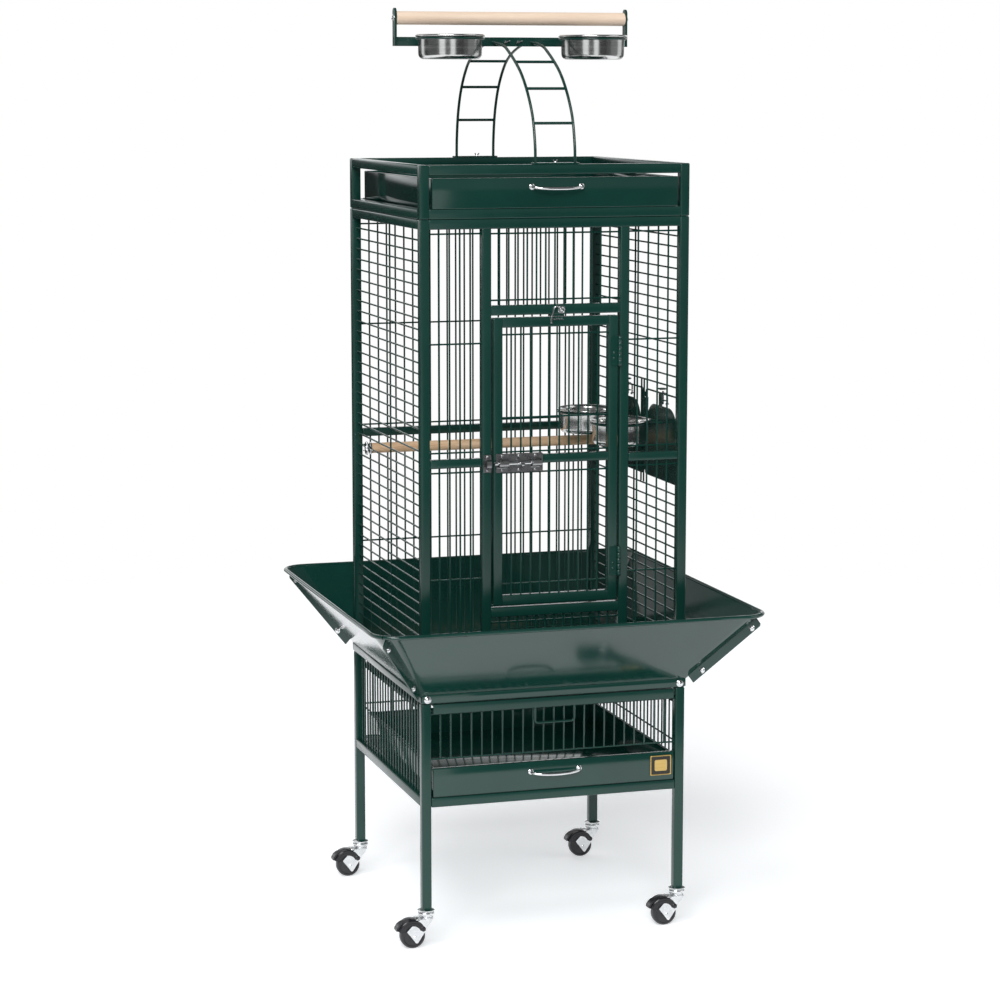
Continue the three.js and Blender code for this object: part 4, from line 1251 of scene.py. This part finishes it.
def strip_levels(world, bearing):
    """Brightness of the strips, by bearing."""
    strips = add_node(world, "ShaderNodeValToRGB")
    strips.color_ramp.interpolation = "CONSTANT"
    elements = strips.color_ramp.elements
    for i, (start, level) in enumerate(STRIPS):
        place = (start + 180) / 360
        stop = elements[i] if i < 2 else elements.new(place)
        stop.position = place
        stop.color = (level, level, level, 1)
    link(world, span(world, bearing, 0.0, 1.0, -math.pi, math.pi), strips.inputs["Fac"])
    return strips.outputs["Color"]


def surround():
    """White to the camera. Surfaces see strips below the horizon, a bright back over it and a dim ceiling."""
    world = bpy.data.worlds.new("surround")
    world.use_nodes = True
    bpy.context.scene.world = world
    world.node_tree.nodes.clear()
    place = add_node(world, "ShaderNodeTexCoord")
    parts = add_node(world, "ShaderNodeSeparateXYZ")
    link(world, place.outputs["Generated"], parts.inputs[0])
    x, y, z = parts.outputs
    back = span(world, y, 0.12, 1.3, -0.2, 0.6, eased=True)
    height = span(world, z, 1.0, 0.0, 0.14, 0.36, eased=True)
    sky = calculate(world, "ADD", calculate(world, "MULTIPLY", back, height), CEILING)
    both = add_node(world, "ShaderNodeMix")
    link(world, span(world, z, 0.0, 1.0, 0.0, 0.06, eased=True), both.inputs["Factor"])
    link(world, strip_levels(world, calculate(world, "ARCTAN2", y, x)), both.inputs["A"])
    link(world, sky, both.inputs["B"])
    lit = add_node(world, "ShaderNodeBackground", Color=(0.97, 0.99, 1.0, 1))
    link(world, both.outputs["Result"], lit.inputs["Strength"])
    seen = add_node(world, "ShaderNodeBackground", Color=(1, 1, 1, 1))
    rays = add_node(world, "ShaderNodeLightPath")
    output = add_node(world, "ShaderNodeOutputWorld")
    blend(world, rays.outputs["Is Camera Ray"], lit.outputs["Background"], seen.outputs["Background"], output)


def sun(name, direction, angle, strength):
    """A very soft light from far away: direction points from the light to the object."""
    data = bpy.data.lights.new(name, "SUN")
    data.angle, data.energy = math.radians(angle), strength
    obj = bpy.data.objects.new(name, data)
    obj.rotation_euler = Vector(direction).to_track_quat("-Z", "Y").to_euler()
    bpy.context.scene.collection.objects.link(obj)


def studio_lights():
    sun("front_light", (0.35, 0.85, -0.50), 30, 2.3)
    sun("key_light", (0.50, 0.45, -1.0), 22, 0.85)
    sun("side_light", (-0.9, 0.35, -0.6), 40, 0.45)
    sun("back_light", (0.2, -0.8, -1.0), 50, 0.35)


def camera():
    data = bpy.data.cameras.new("camera")
    data.lens, data.sensor_width = 99.5, 36.0
    data.clip_end = 60.0
    obj = bpy.data.objects.new("camera", data)
    obj.location = (-1.398, -4.471, 1.4093)
    target = Vector((-0.0252, 0.0, 0.7053))
    obj.rotation_euler = (target - obj.location).to_track_quat("-Z", "Y").to_euler()
    bpy.context.scene.collection.objects.link(obj)
    bpy.context.scene.camera = obj


studio_floor()
surround()
studio_lights()
camera()
bpy.context.scene.view_settings.view_transform = "Standard"
